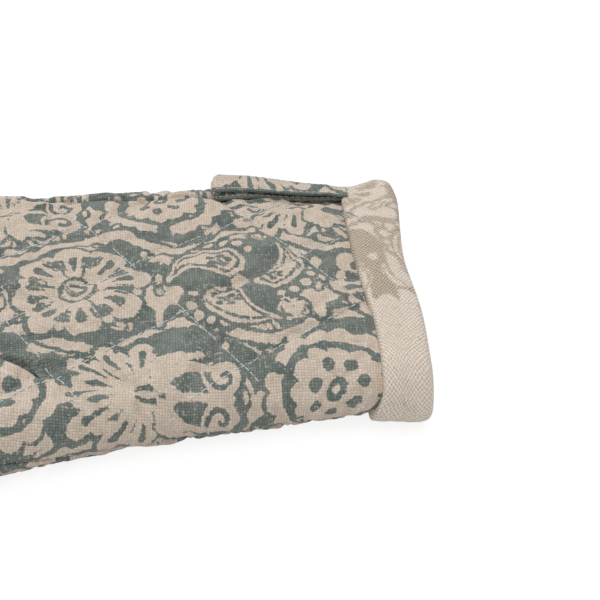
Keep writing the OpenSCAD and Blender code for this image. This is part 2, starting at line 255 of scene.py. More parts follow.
# name, stretch of outline, ridge from, ridge to, length that sets the number of joins
RUNS = [
    ("cuff_near", straight([layer_x, -half_w], [band_x, -half_w], [0.0, 1.0]), cuff_mid, wrist_mid, 24),
    ("wrist_near", near_side(0, near_share), wrist_mid, hand_mid, 142),
    ("ball_near", near_side(near_share, ball_share), hand_mid, ball_mid, 60),
    ("thumb_outer", near_side(ball_share, 1), ball_mid, thumb_end, 46),
    ("thumb_tip", tip_arc, thumb_end, thumb_end, 70),
    ("thumb_inner", straight(inner_end + thumb_dir * thumb_reach, inner_end, thumb_side),
     thumb_end, ball_mid, 46),
    ("crotch_thumb", crotch_arc(0, 0.6), ball_mid, hand_mid, 60),
    ("crotch_index", crotch_arc(0.6, 1), hand_mid, knuckle_mid, 42),
    ("index", straight([crotch[0], index_y], [dome_x, index_y], [0.0, 1.0]), knuckle_mid, fingers_mid, 66),
    ("dome", finger_dome, fingers_mid, fingers_mid, 186),
    ("far_fingers", far_side(0, knuckle_share), fingers_mid, knuckle_mid, 66),
    ("far_knuckle", far_side(knuckle_share, far_share), knuckle_mid, hand_mid, 42),
    ("wrist_far", far_side(far_share, 1), hand_mid, wrist_mid, 142),
    ("cuff_far", straight([band_x, half_w], [layer_x, half_w], [0.0, -1.0]), wrist_mid, cuff_mid, 24),
]
RUN_NAMES = [run[0] for run in RUNS]
thumb_runs = (RUN_NAMES.index("thumb_outer"), RUN_NAMES.index("thumb_inner") + 1)


def make_columns(pitch):
    """The outline cut into joins about pitch apart: where each starts, which way it runs in, the
    ridge point where it ends, and its place, which is the number of its run plus the share of it."""
    edges, ways, spines, places = [], [], [], []
    for number, (_, stretch, ridge_from, ridge_to, length) in enumerate(RUNS):
        steps = max(2, math.ceil(length / pitch))
        t = np.arange(0 if number == 0 else 1, steps + 1) / steps
        edge, way = stretch(t)
        edges.append(edge)
        ways.append(way)
        spines.append(lerp(ridge_from, ridge_to, t[:, None]))
        places.append(number + t)
    return {"edge": np.concatenate(edges), "way": np.concatenate(ways),
            "spine": np.concatenate(spines), "place": np.concatenate(places)}


fine = make_columns(1.0)
print(f"{len(fine['place'])} joins from outline to ridge")

# %% [markdown]
# ## One surface for every layer
# Cut across, the mitt is a flat oval: a rim that turns through half a circle, then a palm side
# that rises gently to the ridge and a back that is flat on the table. A layer is the same oval
# drawn at some depth under the cover.

# %% The cross-section, and points of a layer
rim_arc = math.pi / 2 * math.sqrt((rim_round**2 + mid_z**2) / 2)
lift_start, lift_run = band_x - 30, 25


def lift(x):
    """How far the underside rises close to the cuff, where the band lies under it."""
    return band_t * ramp(x, lift_start, lift_run)


def side_length(cols):
    """Distance over the cloth from the rim's middle to the ridge, for each join."""
    rim_end = cols["edge"] + cols["way"] * rim_round
    return rim_arc + np.linalg.norm(cols["spine"][:, :2] - rim_end, axis=1)


def layer_point(cols, across, depth=0.0):
    """Points of the layer at that depth. Across is the distance over the cloth from the middle of
    the rim, positive on the palm side and negative on the back. Up to the rim's arc the point
    turns with the rim, in by 1 - cos and up by sin. Past it, it runs straight to the ridge, and
    the palm rises by a parabola that is level at the ridge."""
    edge, way = cols["edge"][:, None], cols["way"][:, None]
    spine, crown = cols["spine"][:, None, :2], cols["spine"][:, None, 2]
    rim_end = edge + way * rim_round
    field = np.linalg.norm(spine - rim_end, axis=2)
    a = np.abs(across)
    turn = np.clip(a / rim_arc, 0, 1) * math.pi / 2
    past = np.clip(a - rim_arc, 0, field)
    inset = depth + (rim_round - depth) * (1 - np.cos(turn))
    plan = np.where((a < rim_arc)[..., None], edge + way * inset[..., None],
                    lerp(rim_end, spine, (past / field)[..., None]))
    height = (mid_z - depth) * np.sin(turn)
    share = (inset + past - depth) / (rim_round + field - depth)
    rise = crown * (1 - (1 - share) ** 2)
    back_height = (mid_z - depth - lift(plan[..., 0])) * np.sin(turn)
    z = np.where(across >= 0, mid_z + height + rise, mid_z - back_height)
    return np.concatenate([plan, z[..., None]], -1)


def cloth_place(cols, over):
    """Where each point lies on the flat cloth, in millimetres, before it is sewn: the plan seen
    from above, with the rim unrolled outwards. Over is the distance from the rim's middle,
    positive towards the panel's own side."""
    edge, way = cols["edge"][:, None], cols["way"][:, None]
    spine = cols["spine"][:, None, :2]
    rim_end = edge + way * rim_round
    field = np.linalg.norm(spine - rim_end, axis=2)
    on_rim = rim_end - way * (rim_arc - over)[..., None]
    past = np.clip(over - rim_arc, 0, field) / field
    return np.where((over < rim_arc)[..., None], on_rim, lerp(rim_end, spine, past[..., None]))


far_length = side_length(fine).max()
print(f"rim arc {rim_arc:.1f} mm, rim to ridge at most {far_length:.0f} mm")

# %% [markdown]
# ## From arrays to meshes
# Blender can build a mesh one face at a time, but whole arrays of corners are much faster for
# surfaces this fine. The next cell turns a grid of point numbers into faces. Where joins meet at
# the ridge two corners of a square are the same point, so that square becomes a triangle.

# %% Arrays to meshes
def squares_of(numbers):
    """A square between each four neighbours in a grid of point numbers. The squares face up when
    the rows run inwards on the palm side."""
    corners = numbers[:-1, :-1], numbers[:-1, 1:], numbers[1:, 1:], numbers[1:, :-1]
    return np.stack(corners, -1).reshape(-1, 4)


def closed(numbers):
    """A grid of point numbers with its first column again at its end, so that its rows are rings."""
    return np.concatenate([numbers, numbers[:, :1]], 1)


def grid_faces(numbers):
    """The squares of a grid, and triangles where two corners of a square are one point."""
    squares = squares_of(numbers)
    whole = np.all(squares != np.roll(squares, 1, axis=1), axis=1)
    corners = squares[~whole]
    doubled = corners == np.roll(corners, 1, axis=1)
    keep = np.sort(np.argsort(doubled, axis=1, kind="stable")[:, :3], axis=1)
    triangles = np.take_along_axis(corners, keep, axis=1)
    real = np.all(triangles != np.roll(triangles, 1, axis=1), axis=1)
    return squares[whole], triangles[real]


def flipped(faces):
    """The same faces, facing the other way."""
    return [f[:, ::-1] for f in faces]


def build_mesh(name, points, faces, flat_cloth=None):
    """A mesh object from points in millimetres and a list of face arrays, one array for each
    number of corners. Flat_cloth gives each point's place on the cloth, for the weave."""
    mesh = bpy.data.meshes.new(name)
    faces = [np.asarray(f) for f in faces if len(f)]
    corners = np.concatenate([f.ravel() for f in faces])
    totals = np.concatenate([np.full(len(f), f.shape[1]) for f in faces])
    starts = np.concatenate([[0], np.cumsum(totals)[:-1]])
    mesh.vertices.add(len(points))
    mesh.vertices.foreach_set("co", np.asarray(points, np.float32).ravel() * MM)
    mesh.loops.add(len(corners))
    mesh.loops.foreach_set("vertex_index", corners.astype(np.int32))
    mesh.polygons.add(len(totals))
    mesh.polygons.foreach_set("loop_start", starts.astype(np.int32))
    mesh.update(calc_edges=True)
    mesh.polygons.foreach_set("use_smooth", np.ones(len(totals), bool))
    if flat_cloth is not None:
        layer = mesh.uv_layers.new(name="cloth")
        layer.uv.foreach_set("vector", np.asarray(flat_cloth, np.float32)[corners].ravel())
    mesh.validate()
    piece = bpy.data.objects.new(name, mesh)
    bpy.context.scene.collection.objects.link(piece)
    return piece


def points_of(piece):
    """The piece's points, in millimetres."""
    co = np.empty(len(piece.data.vertices) * 3, np.float32)
    piece.data.vertices.foreach_get("co", co)
    return co.reshape(-1, 3).astype(float) / MM


def ridge_numbers(cols, first):
    """Numbers for the shared ridge points, counted from first, one for each join. Points are the
    same if they agree to a hundredth, and a small offset keeps them off the rounding's edges."""
    offset = 0.0031
    _, number = np.unique(np.round(cols["spine"] + offset, 2), axis=0, return_inverse=True)
    return first + number.ravel()


print(f"a grid of 3 by 4 points has {len(squares_of(np.arange(12).reshape(3, 4)))} squares")

# %% [markdown]
# ## Where the quilting runs
# Two families of straight stitched lines cross at right angles. They pull the cover down into
# the wadding, so the shape, the creases and the thread all need the distance to them.

# %% Distance to the quilting lines
quilt_mid = np.array([53, -7])
cross_mid = np.array([59, 16])


def line_distance(plan, through, angle, gap):
    """Distance to the nearest of a family of parallel lines that are gap apart."""
    off = (plan - through) @ direction(angle + 90)
    return np.abs((off + gap / 2) % gap - gap / 2)


def quilt_distance(plan):
    """Distance to the nearest quilting line of either family."""
    return np.minimum(line_distance(plan, quilt_mid, quilt_angle - 90, quilt_gap),
                      line_distance(plan, cross_mid, quilt_angle, cross_gap))


print(f"the middle of the wrist is {quilt_distance(np.array([band_x, 0.0])):.0f} mm from a quilting line")


# %% [markdown]
# ## Stuffing the mitt
# Sewn padding never lies as flat as a drawing. The cloth between the stitched lines swells, and
# the spare cloth beside them gathers into small folds. That could be sculpted, but a cloth
# simulation finds it by itself: a coarse closed bag is blown up a little, its cloth is 3% too
# large, and it is held along the quilting lines and at the cuff. The finer layers then borrow
# the way the bag moved.

# %% A coarse bag of cloth
coarse = make_columns(3.6)
coarse_half = 22
bag_rows = np.linspace(-1, 1, 2 * coarse_half + 1)


def make_bag():
    """The coarse bag: rows run from the ridge of the back over the rim to the ridge of the palm."""
    n, m = len(coarse["place"]), len(bag_rows)
    across = side_length(coarse)[:, None] * bag_rows
    grid = layer_point(coarse, across)
    numbers = np.arange(n * (m - 2)).reshape(n, m - 2)
    back = ridge_numbers(coarse, n * (m - 2))
    palm = ridge_numbers(coarse, back.max() + 1)
    points = np.zeros((palm.max() + 1, 3))
    points[numbers] = grid[:, 1:-1]
    points[back] = grid[:, 0]
    points[palm] = grid[:, -1]
    numbers = np.concatenate([back[:, None], numbers, palm[:, None]], 1)
    mouth = np.concatenate([numbers[0], numbers[-1][::-1][1:-1]])
    squares, triangles = grid_faces(numbers)
    return build_mesh("bag", points, [squares, triangles, mouth[None, ::-1]]), numbers


bag, bag_numbers = make_bag()
print(f"the bag has {len(bag.data.vertices)} points")


# %% How the bag is held and blown up
quilt_hold, rim_hold, table_hold = 0.85, 0.45, 0.25
stitch_grip = 2.6
# where each hold starts and over how far it grows, in millimetres
clear_of_rim, off_rim, on_cuff, off_table = (8, 4), (3, 6), (band_x - 12, 12), (1.5, -1.5)


def hold_weights(points):
    """How firmly each point of the bag is held: at the quilting lines, near the cuff, and a little
    on the table and along the rim."""
    from_middle = np.abs(points[:, 2] - mid_z)
    near_line = bell(quilt_distance(points[:, :2]), stitch_grip)
    stitched = quilt_hold * near_line * ramp(from_middle, *clear_of_rim)
    rim = rim_hold * (1 - ramp(from_middle, *off_rim))
    cuff = ramp(points[:, 0], *on_cuff)
    table = table_hold * ramp(points[:, 2], *off_table)
    return np.clip(np.maximum.reduce([stitched, cuff, table, rim]), 0, 1)


def blow_up(bag, frames=20):
    """Runs the cloth simulation on the bag and returns how far each point moved."""
    before = points_of(bag)
    group = bag.vertex_groups.new(name="held")
    for number, weight in enumerate(hold_weights(before)):
        group.add([number], float(weight), "REPLACE")
    cloth = bag.modifiers.new("Cloth", "CLOTH")
    setup = cloth.settings
    setup.effector_weights.gravity = 0
    setup.mass = 0.02
    setup.use_pressure = True
    setup.uniform_pressure_force = 2.8
    setup.shrink_min = -0.03
    setup.tension_stiffness = 25
    setup.compression_stiffness = 25
    setup.bending_stiffness = 0.6
    setup.vertex_group_mass = "held"
    setup.quality = 6
    cloth.collision_settings.use_collision = False
    cloth.point_cache.frame_start = 1
    cloth.point_cache.frame_end = frames
    for number in range(1, frames + 1):
        bpy.context.scene.frame_set(number)
    settled = bag.evaluated_get(bpy.context.evaluated_depsgraph_get())
    after = np.empty(len(before) * 3, np.float32)
    settled.data.vertices.foreach_get("co", after)
    bpy.context.scene.frame_set(1)
    return after.reshape(-1, 3) / MM - before


print(f"{np.mean(hold_weights(points_of(bag)) > 0.5):.0%} of the bag's points are held firmly")

# %% Blow up the bag, and note how its cloth moved
most_move = 4.0
bag_moved = np.zeros((len(bag.data.vertices), 3))
bag_moved = blow_up(bag)
reach = np.linalg.norm(bag_moved, axis=1, keepdims=True)
bag_moved *= np.minimum(1, most_move / np.maximum(reach, 1e-6))
bpy.data.objects.remove(bag)
print(f"the bag's cloth moved {reach.mean():.2f} mm on average and {reach.max():.1f} mm at most")

# %% Borrow the bag's movement for a finer layer
def cubic_weights(t):
    """Shares of four neighbours for a smooth curve through the middle two."""
    return (-0.5 * t + t**2 - 0.5 * t**3, 1 - 2.5 * t**2 + 1.5 * t**3,
            0.5 * t + 2 * t**2 - 1.5 * t**3, -0.5 * t**2 + 0.5 * t**3)


def borrowed_move(cols, across):
    """The bag's movement at these points, smoothly in between its own. The field first gets one
    more row and column on every side, so that each point has four neighbours each way."""
    field = bag_moved[bag_numbers]
    before, after = 2 * field[:, :1] - field[:, 1:2], 2 * field[:, -1:] - field[:, -2:-1]
    field = np.concatenate([before, field, after], 1)
    field = np.concatenate([field[:1], field, field[-1:]], 0)
    n, m = field.shape[0] - 2, field.shape[1] - 2
    share = np.clip(across / side_length(cols)[:, None], -1, 1)
    i = np.interp(cols["place"], coarse["place"], np.arange(n))[:, None] + 0 * share
    j = (share + 1) / 2 * (m - 1)
    i0 = np.clip(i.astype(int), 0, n - 2)
    j0 = np.clip(j.astype(int), 0, m - 2)
    total = 0
    for di, wi in enumerate(cubic_weights(i - i0)):
        row = np.minimum(i0 + di, n + 1)
        for dj, wj in enumerate(cubic_weights(j - j0)):
            total = total + (wi * wj)[..., None] * field[row, np.minimum(j0 + dj, m + 1)]
    return total


print("halfway between two points the four shares are", cubic_weights(0.5))

# %% [markdown]
# ## Panels: where the seam runs, and how the cloth dips there
# The palm panel and the back panel meet in a seam round the rim. Near the cuff the back panel of
# this mitt wraps up over the far rim, so the seam lies on top there and underneath on the thumb
# side. Close to a seam or a quilting line the cloth is pulled in, and little puckers form where
# the needle has taken up the spare cloth.

# %% The seam line, and smooth unevenness
loop_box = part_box("hanging_loop")
loop_y = (loop_box[0].y + loop_box[1].y) / 2 / MM
# place along the outline, and how far over the rim's middle the seam lies there
SEAM = [(0, -9), (1.6, -9), (2.8, 0), (10.8, 0), (11.3, 13), (12, 19), (12.2, 22.5),
        (12.4, 23.5), (14, 23.5)]


def seam_at(cols):
    """How far over the rim's middle the seam lies, for each join."""
    return np.interp(cols["place"], *zip(*SEAM))


def ripples(plan, wave, seed, count=7):
    """Smooth unevenness, about -1 to 1: waves of about that length that run in several directions."""
    choose = np.random.default_rng(seed)
    total = np.zeros(plan.shape[:-1])
    for _ in range(count):
        way = direction(choose.uniform(0, 360)) * 2 * math.pi / (wave * choose.uniform(0.7, 1.5))
        total += np.sin(plan @ way + choose.uniform(0, 2 * math.pi))
    return total / math.sqrt(count)


def segment_distance(plan, a, b):
    """Distance to the straight line from a to b, the share of the way along it, and how far each
    place lies to the right of it."""
    t = np.clip((plan - a) @ (b - a) / ((b - a) @ (b - a)), 0, 1)
    right = (plan - a) @ unit((b - a)[::-1] * [1, -1])
    return np.linalg.norm(plan - lerp(a, b, t[..., None]), axis=-1), t, right


print(f"the loop lies at y = {loop_y:.1f} mm, and the seam is {SEAM[-1][1]} mm over the rim there")


# %% Fine relief: valleys, puckers, the wrapped seam and the gathered neck
quilt_dip, quilt_w, quilt_soft_w = 0.6, 1.1, 4
no_quilting, rim_edge = 8, (rim_arc * 1.2, -10)
seam_dip, seam_w, seam_soft, seam_soft_w = 1.1, 0.8, 0.3, 3
wrap_w, wrap_h, wrap_top_h, beyond_dip, over_top = 4, 0.4, 0.9, 0.5, (12, 8)
pucker_wave, pucker_h, pucker_off = 8.5, 0.11, 3
neck_dip, neck_w, neck_soft_w = 0.8, 2.2, 8
gather_wave, gather_h = 9, 0.18
uneven_wave, uneven_h = 33, 0.16
bed_w, bed_from = 8, (-50, 30)


def fine_relief(cols, across, cloth):
    """How far each point stands out of the blown-up shape, in millimetres. Quilting lines are
    narrow valleys with puckers beside them, the seam is a narrow groove with the wrapped cloth
    proud of it, the cloth is drawn in where the band is sewn on, and it fills the bed that the
    loop lies on."""
    seam = seam_at(cols)[:, None]
    from_seam, from_band = np.abs(across - seam), cloth[..., 0] - band_x
    quilted = quilt_distance(cloth) + no_quilting * ramp(np.abs(across), *rim_edge)
    valleys = quilt_dip * (bell(quilted, quilt_w) + 0.5 * bell(quilted, quilt_soft_w))
    beside = bell(quilted - pucker_off, 3.5) + bell(from_seam - pucker_off, 4)
    puckers = pucker_h * ripples(cloth, pucker_wave, 3) * beside
    groove = seam_dip * bell(from_seam, seam_w) + seam_soft * bell(from_seam, seam_soft_w)
    on_top = ramp(seam, *over_top)
    wrapped = np.where(across < seam, wrap_h + wrap_top_h * on_top, -beyond_dip * on_top)
    neck = neck_dip * (bell(from_band, neck_w) + 0.6 * bell(from_band, neck_soft_w))
    gathers = gather_h * ripples(cloth * [0.4, 1], gather_wave, 4) * bell(from_band, gather_wave)
    bed = bell(cloth[..., 1] - loop_y, bed_w) * ramp(from_band, *bed_from)
    raised = wrapped * bell(from_seam, wrap_w) + puckers + gathers + bed
    return raised + uneven_h * ripples(cloth, uneven_wave, 5) - valleys - groove - neck


print(f"the seam's groove is {seam_dip + seam_soft:.1f} mm deep, and the neck {1.6 * neck_dip:.1f} mm")

# %% The deep fold beside the thumb
crease_from, crease_to = np.array([-30.0, -46.0]), np.array([24.0, -63.0])
crease_deep, crease_deeper, crease_reach = 12.2, 0.4, 30
bulge_h, bulge_off, bulge_w = 3.0, 10, 5
far_wall, far_wall_run, near_wall, near_wall_run = -7, 6, 1, 5


def fold_reach(along):
    """How much of the fold there is a share of the way along it: it opens fast and fades slowly."""
    return smooth((1 - along) * 1.7) * smooth(along * 4)


def crease(across, cloth, wider):
    """A fold that runs from the crotch of the thumb into the palm: cloth that rolls down into it on
    the far side, a steep wall on the near side, and a bulge beside that. Inner layers fold wider
    by that much."""
    off, along, right = segment_distance(cloth, crease_from, crease_to)
    reach = fold_reach(along) * smooth(across / rim_arc * 2) * (off < crease_reach)
    past_near_wall = ramp(right, near_wall + wider, near_wall_run)
    pocket = ramp(right, far_wall - wider, far_wall_run) * (1 - past_near_wall)
    bulge = bulge_h * bell(right - bulge_off, bulge_w)
    return reach * (bulge - (crease_deep + crease_deeper * wider) * pocket)


print(f"the fold is {np.linalg.norm(crease_to - crease_from):.0f} mm long and {crease_deep} mm deep")


# %% How the sewing draws the mitt in
pinch_in, pinch_down = 2.6, 1.5
sag_x, sag_w, sag_in, sag_down = 6, 20, 1.3, 1.4
edge_swing, edge_back = 4.2, -1.0
end_flare, end_in, thumb_side_in = 0.6, 2.2, 2.9
lip_h, lip_off, lip_w = 5.5, 7, 5.2
# where each pull starts along x, y or z and over how far it grows, in millimetres
far_rim, near_rim, swing_from = (28, 30), (-30, -30), (10, -55)
pinch_on, pinch_off, end_from = (band_x - 44, 36), (band_x + 7, 12), (band_x + 8, 12)
edge_on, edge_off, straight_on, straight_off = (band_x - 30, 30), (band_x, 20), (-46, 30), (100, -85)
above_table, top_face, lip_above = (0, 12), (5, 14), (8, 11)
# middle, width and height of the waves of the cuff's end over y, and of the thumb side over x
END_WAVES = [(50, 17, 1.9), (2, 20, -1.7), (-36, 18, 0.8), (-76, 8, -0.8)]
THUMB_SIDE_WAVES = [(-16, 14, 1.5), (112, 13, 1.1)]


def drawn_in(points):
    """How far the sewing pulls points out of the plain shape, in millimetres. The far rim is
    pinched where the band is sewn on and flares past it, the end of the cuff waves, the band's
    edge swings out over the thumb side and back under it, the rim beside the thumb is pulled
    straight, and the near lip of the fold hangs over it."""
    x, y, z = np.moveaxis(points, -1, 0)
    far, near = ramp(y, *far_rim), ramp(y, *near_rim)
    end, top = ramp(x, *end_from), ramp(z, *top_face)
    pinch = far * ramp(x, *pinch_on) * (1 - ramp(x, *pinch_off))
    sag = far * bell(x - sag_x, sag_w)
    edge = ramp(x, *edge_on) * (1 - ramp(x, *edge_off))
    swing = lerp(edge_swing * ramp(y, *swing_from), lerp(edge_back, edge_swing, top), near)
    straightened = thumb_side_in * ramp(x, *straight_on) * ramp(x, *straight_off)
    beside_thumb = near * (straightened + bells(x, THUMB_SIDE_WAVES) - end_in * end)
    _, along, right = segment_distance(points[..., :2], crease_from, crease_to)
    lip = lip_h * bell(right - lip_off, lip_w) * fold_reach(along) * ramp(z, *lip_above)
    return np.stack([end * bells(y, END_WAVES) + edge * swing,
                     far * end_flare * end - pinch_in * pinch + beside_thumb - sag_in * sag + lip,
                     -(pinch_down * pinch + sag_down * sag) * ramp(z, *above_table)], -1)


print("the far rim beside the band moves by", drawn_in(np.array([band_x, half_w, mid_z])).round(1), "mm")

# %% [markdown]
# Each panel is a closed shell: an outer face, an inner face one thickness further in, and an edge
# all round. It is cut where the thumb begins, because the thumb and the fingers fold about
# different lines, and the two parts share the points of that cut.

# %% One panel of one layer
PALM, BACK = 1, -1
SIDE_NAMES = {PALM: "palm", BACK: "back"}
inner_fold = 2.6
table_gap = 0.15


def pick(cols, keep):
    """Some of the joins."""
    return {key: value[keep] for key, value in cols.items()}


def outward(points):
    """Directions out of a grid of points whose rows run inwards on the palm side. The ridge's own
    points take the direction straight up or down."""
    n = np.cross(np.gradient(points, axis=1), np.gradient(points, axis=0))
    n /= np.maximum(np.linalg.norm(n, axis=2, keepdims=True), 1e-9)
    side = 1 if points[0, -1, 2] > mid_z else -1
    n *= side
    n[:, -1] = [0, 0, side]
    n[:, -2] = unit(n[:, -3] + n[:, -1])
    return n


def shaped_panel(cols, side, outer, inner, rows, relief):
    """Outer and inner points of a panel, and the place of each on the flat cloth. Rows run from
    the seam to the ridge. The points move with the bag, then out by the relief, and then as the
    sewing draws them in, and none sinks into the table."""
    seam, length = seam_at(cols)[:, None], side_length(cols)[:, None]
    across = lerp(seam, side * length, np.linspace(0, 1, rows))
    outside, inside = layer_point(cols, across, outer), layer_point(cols, across, inner)
    cloth = cloth_place(cols, side * across)
    shift = borrowed_move(cols, across)
    stands = relief * fine_relief(cols, across, cloth)
    if side == PALM:
        stands = stands + crease(across, cloth, inner_fold * (outer > 0))
    shift = shift + outward(outside + shift) * stands[..., None]
    shift[:, -1, :2] = 0
    shaped = []
    for face, depth in ((outside + shift, outer), (inside + shift, inner)):
        face = face + drawn_in(face)
        face[..., 2] = np.maximum(face[..., 2], table_gap + depth)
        shaped.append(face)
    return *shaped, cloth


print(f"the fold is {inner_fold} mm wider on each side in the inner layers")

# %% A panel as a closed shell
fine_rows, middle_rows, fine_stride = 79, 25, 6


def close_panel(name, side, cols, blocks, shaped, stride):
    """The mesh of a panel. Blocks are the stretches of joins that belong to it, and shaped holds
    its outer points, its inner points and their places on the cloth. The inner face has one row
    for each stride of the outer rows, because it is never seen close to."""
    outside, inside, cloth = shaped
    used = np.concatenate([np.arange(a, b) for a, b in blocks])
    n, rows = len(used), outside.shape[1]
    inner_rows = np.arange(0, rows, stride)
    own = pick(cols, used)
    ridge_out = ridge_numbers(own, n * (rows - 1))
    start_in = ridge_out.max() + 1
    in_count = n * (len(inner_rows) - 1)
    ridge_in = ridge_numbers(own, start_in + in_count)
    out = np.concatenate([np.arange(n * (rows - 1)).reshape(n, -1), ridge_out[:, None]], 1)
    inn = np.concatenate([start_in + np.arange(in_count).reshape(n, -1), ridge_in[:, None]], 1)
    points, places = np.zeros((ridge_in.max() + 1, 3)), np.zeros((ridge_in.max() + 1, 2))
    points[out], places[out] = outside[used], cloth[used]
    points[inn], places[inn] = inside[used][:, inner_rows], cloth[used][:, inner_rows]
    faces, first = [], 0
    for a, b in blocks:
        last = first + b - a
        o, i = out[first:last], inn[first:last]
        faces += [*grid_faces(o), *flipped(grid_faces(i))]
        faces.append(np.stack([o[:-1, 0], o[1:, 0], i[1:, 0], i[:-1, 0]], -1))
        for col, turn in ((0, 1), (-1, -1)):
            bands = [np.concatenate([o[col, k:k + stride + 1], i[col, [k // stride + 1, k // stride]]])
                     for k in inner_rows[:-1]]
            faces.append(np.array(bands)[:, ::-turn])
        first = last
    return build_mesh(name, points, faces if side == PALM else flipped(faces), places)


print(f"a cover has {fine_rows} rows outside and {len(range(0, fine_rows, fine_stride))} inside")

# %% Pieces for the moving parts, and the solid nodes they stand for
PARTS = {"fingers": ("hand", "fingers"), "thumb": ("thumb",)}


def part_name(stem, part):
    """The name of the piece that covers the hand and fingers, or the thumb."""
    return stem + ("_of_thumb" if part == "thumb" else "")


def fit(piece, part, nodes):
    """Bakes the placement of a piece that belongs to a part into its points, or ties a piece to the
    hand, and hides the solid nodes that it stands for."""
    if part:
        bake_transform(piece)
    else:
        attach(piece, "hand")
    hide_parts(*nodes)


# %% Every layer, on both sides
middle = make_columns(3.0)
padding_slack = 1.6
soft_relief = 0.3
seam_lines = {}


def first_join(cols, run):
    """The number of the first join of a run of the outline."""
    return int(np.searchsorted(cols["place"], run - 1e-6))


def dress_layer(layer, cols, side, outer, inner, rows, stride, relief=1.0):
    """Makes one layer of one side in two pieces: hand with fingers, and thumb."""
    shaped = shaped_panel(cols, side, outer, inner, rows, relief)
    seam_lines[side, layer] = shaped[0][:, 0]
    a, b = (first_join(cols, run) for run in thumb_runs)
    stem = f"{SIDE_NAMES[side]}_{layer}"
    made = []
    for part, blocks in (("fingers", [(0, a + 1), (b, len(cols["place"]))]), ("thumb", [(a, b + 1)])):
        piece = close_panel(part_name(stem, part), side, cols, blocks, shaped, stride)
        fit(piece, part, [f"{stem}_{node}" for node in PARTS[part]])
        made.append(piece)
    print(f"{stem}: {sum(len(p.data.polygons) for p in made)} faces")
    return made


covers, waddings, linings = [], [], []
for side in (PALM, BACK):
    covers += dress_layer("cover", fine, side, 0, cover_t, fine_rows, fine_stride)
    wadding_out = cover_t + padding_slack
    waddings += dress_layer("wadding", middle, side, wadding_out, wadding_in, middle_rows, 4, soft_relief)
    linings += dress_layer("lining", middle, side, wadding_in, lining_in, middle_rows, 2, soft_relief)

# %% [markdown]
# ## The cuff band
# The band is a strip of the same cloth, cut on the bias so that it stretches round the curve, and
# turned over the raw edges with its paler wrong side out. It could be a bent tube, but a binding
# is plump between its two edges, folds under at the stitches and turns over the rim in a roll.
# So a closed profile of place along the mitt and depth is carried round the cuff's oval.

# %% Profile of the band
nose_long = 3.4
nose_x = cuff_x - nose_long
tuck, fold_share = 2.6, 0.07
slack = 0.1
band_in = lining_in + 1.2


def band_profile():
    """Closed profile as place along the mitt, depth under the cover and share of the swell: the
    folded edge, the plump outside, the roll over the end, the flat inside, and the hollow that
    holds the layers."""
    t = np.linspace(0, 1, 34)
    fold = np.sqrt(1 - (1 - np.clip(t / fold_share, 0, 1)) ** 2)
    outside = np.stack([lerp(band_x + 0.2, nose_x, t), tuck - (band_t + tuck) * fold,
                        np.sin(math.pi * t) ** 0.7], -1)
    roll = direction(np.linspace(-90, 90, 19)[1:])
    mid, half = (band_in - band_t) / 2, (band_in + band_t) / 2
    nose = np.stack([nose_x + nose_long * roll[:, 0], mid + half * roll[:, 1], 0 * roll[:, 0]], -1)
    t = np.linspace(0, 1, 12)[1:]
    inside = np.stack([lerp(nose_x, band_x + 2.4, t), band_in + 0 * t, 0 * t], -1)
    hollow = np.array([[band_x + 2, band_in - 4 * slack, 0], [band_x + 2.2, lining_in + slack, 0],
                       [layer_x + slack, lining_in + slack, 0], [layer_x + slack, slack, 0],
                       [band_x + 1.2, tuck, 0]])
    return np.concatenate([outside, nose, inside, hollow])


print(f"the band's profile has {len(band_profile())} points")

# %% Rings round the cuff
ring_side = rim_arc + half_w - rim_round
ring_steps = 330
ring_place = np.arange(ring_steps) / ring_steps * 4 * ring_side


def cuff_ring(x, depth, place):
    """Points round the cuff at one place along the mitt. Place is the distance round the oval: up
    the thumb side of the palm, down its far side, and back underneath."""
    near = (place < ring_side) | (place >= 3 * ring_side)
    sign = np.where(near, -1.0, 1.0)
    across = np.select([place < ring_side, place < 3 * ring_side],
                       [place, 2 * ring_side - place], place - 4 * ring_side)
    cols = {"edge": np.stack([x + 0 * sign, sign * half_w], -1), "way": np.stack([0 * sign, -sign], -1),
            "spine": np.stack([x + 0 * sign, 0 * sign, crown_h + 0 * sign], -1)}
    return layer_point(cols, across[:, None], depth)[:, 0]


def underside(place):
    """1 where the band lies under the mitt, 0 on its palm side, and in between at the rims."""
    return smooth(np.minimum(place - 2 * ring_side, 4 * ring_side - place) / rim_arc)


def turned(places, degrees):
    """Places on the flat cloth, turned by an angle, as for a strip cut on the bias."""
    c, s = math.cos(math.radians(degrees)), math.sin(math.radians(degrees))
    return np.stack([places[:, 0] * c - places[:, 1] * s, places[:, 0] * s + places[:, 1] * c], -1)


def weld(piece, gap=0.002):
    """Joins points of a mesh that lie within gap millimetres, so that a ring closes, and turns its
    faces outwards."""
    bm = bmesh.new()
    bm.from_mesh(piece.data)
    bmesh.ops.remove_doubles(bm, verts=bm.verts, dist=gap * MM)
    bmesh.ops.recalc_face_normals(bm, faces=bm.faces)
    bm.to_mesh(piece.data)
    bm.free()
    piece.data.update()


print(f"the cuff is {4 * ring_side:.0f} mm round")


# %% Carry the profile round the cuff
plump_uneven, drag_h, stitch_pull, edge_wave = 0.35, 0.16, 0.3, 0.35
bias = 45


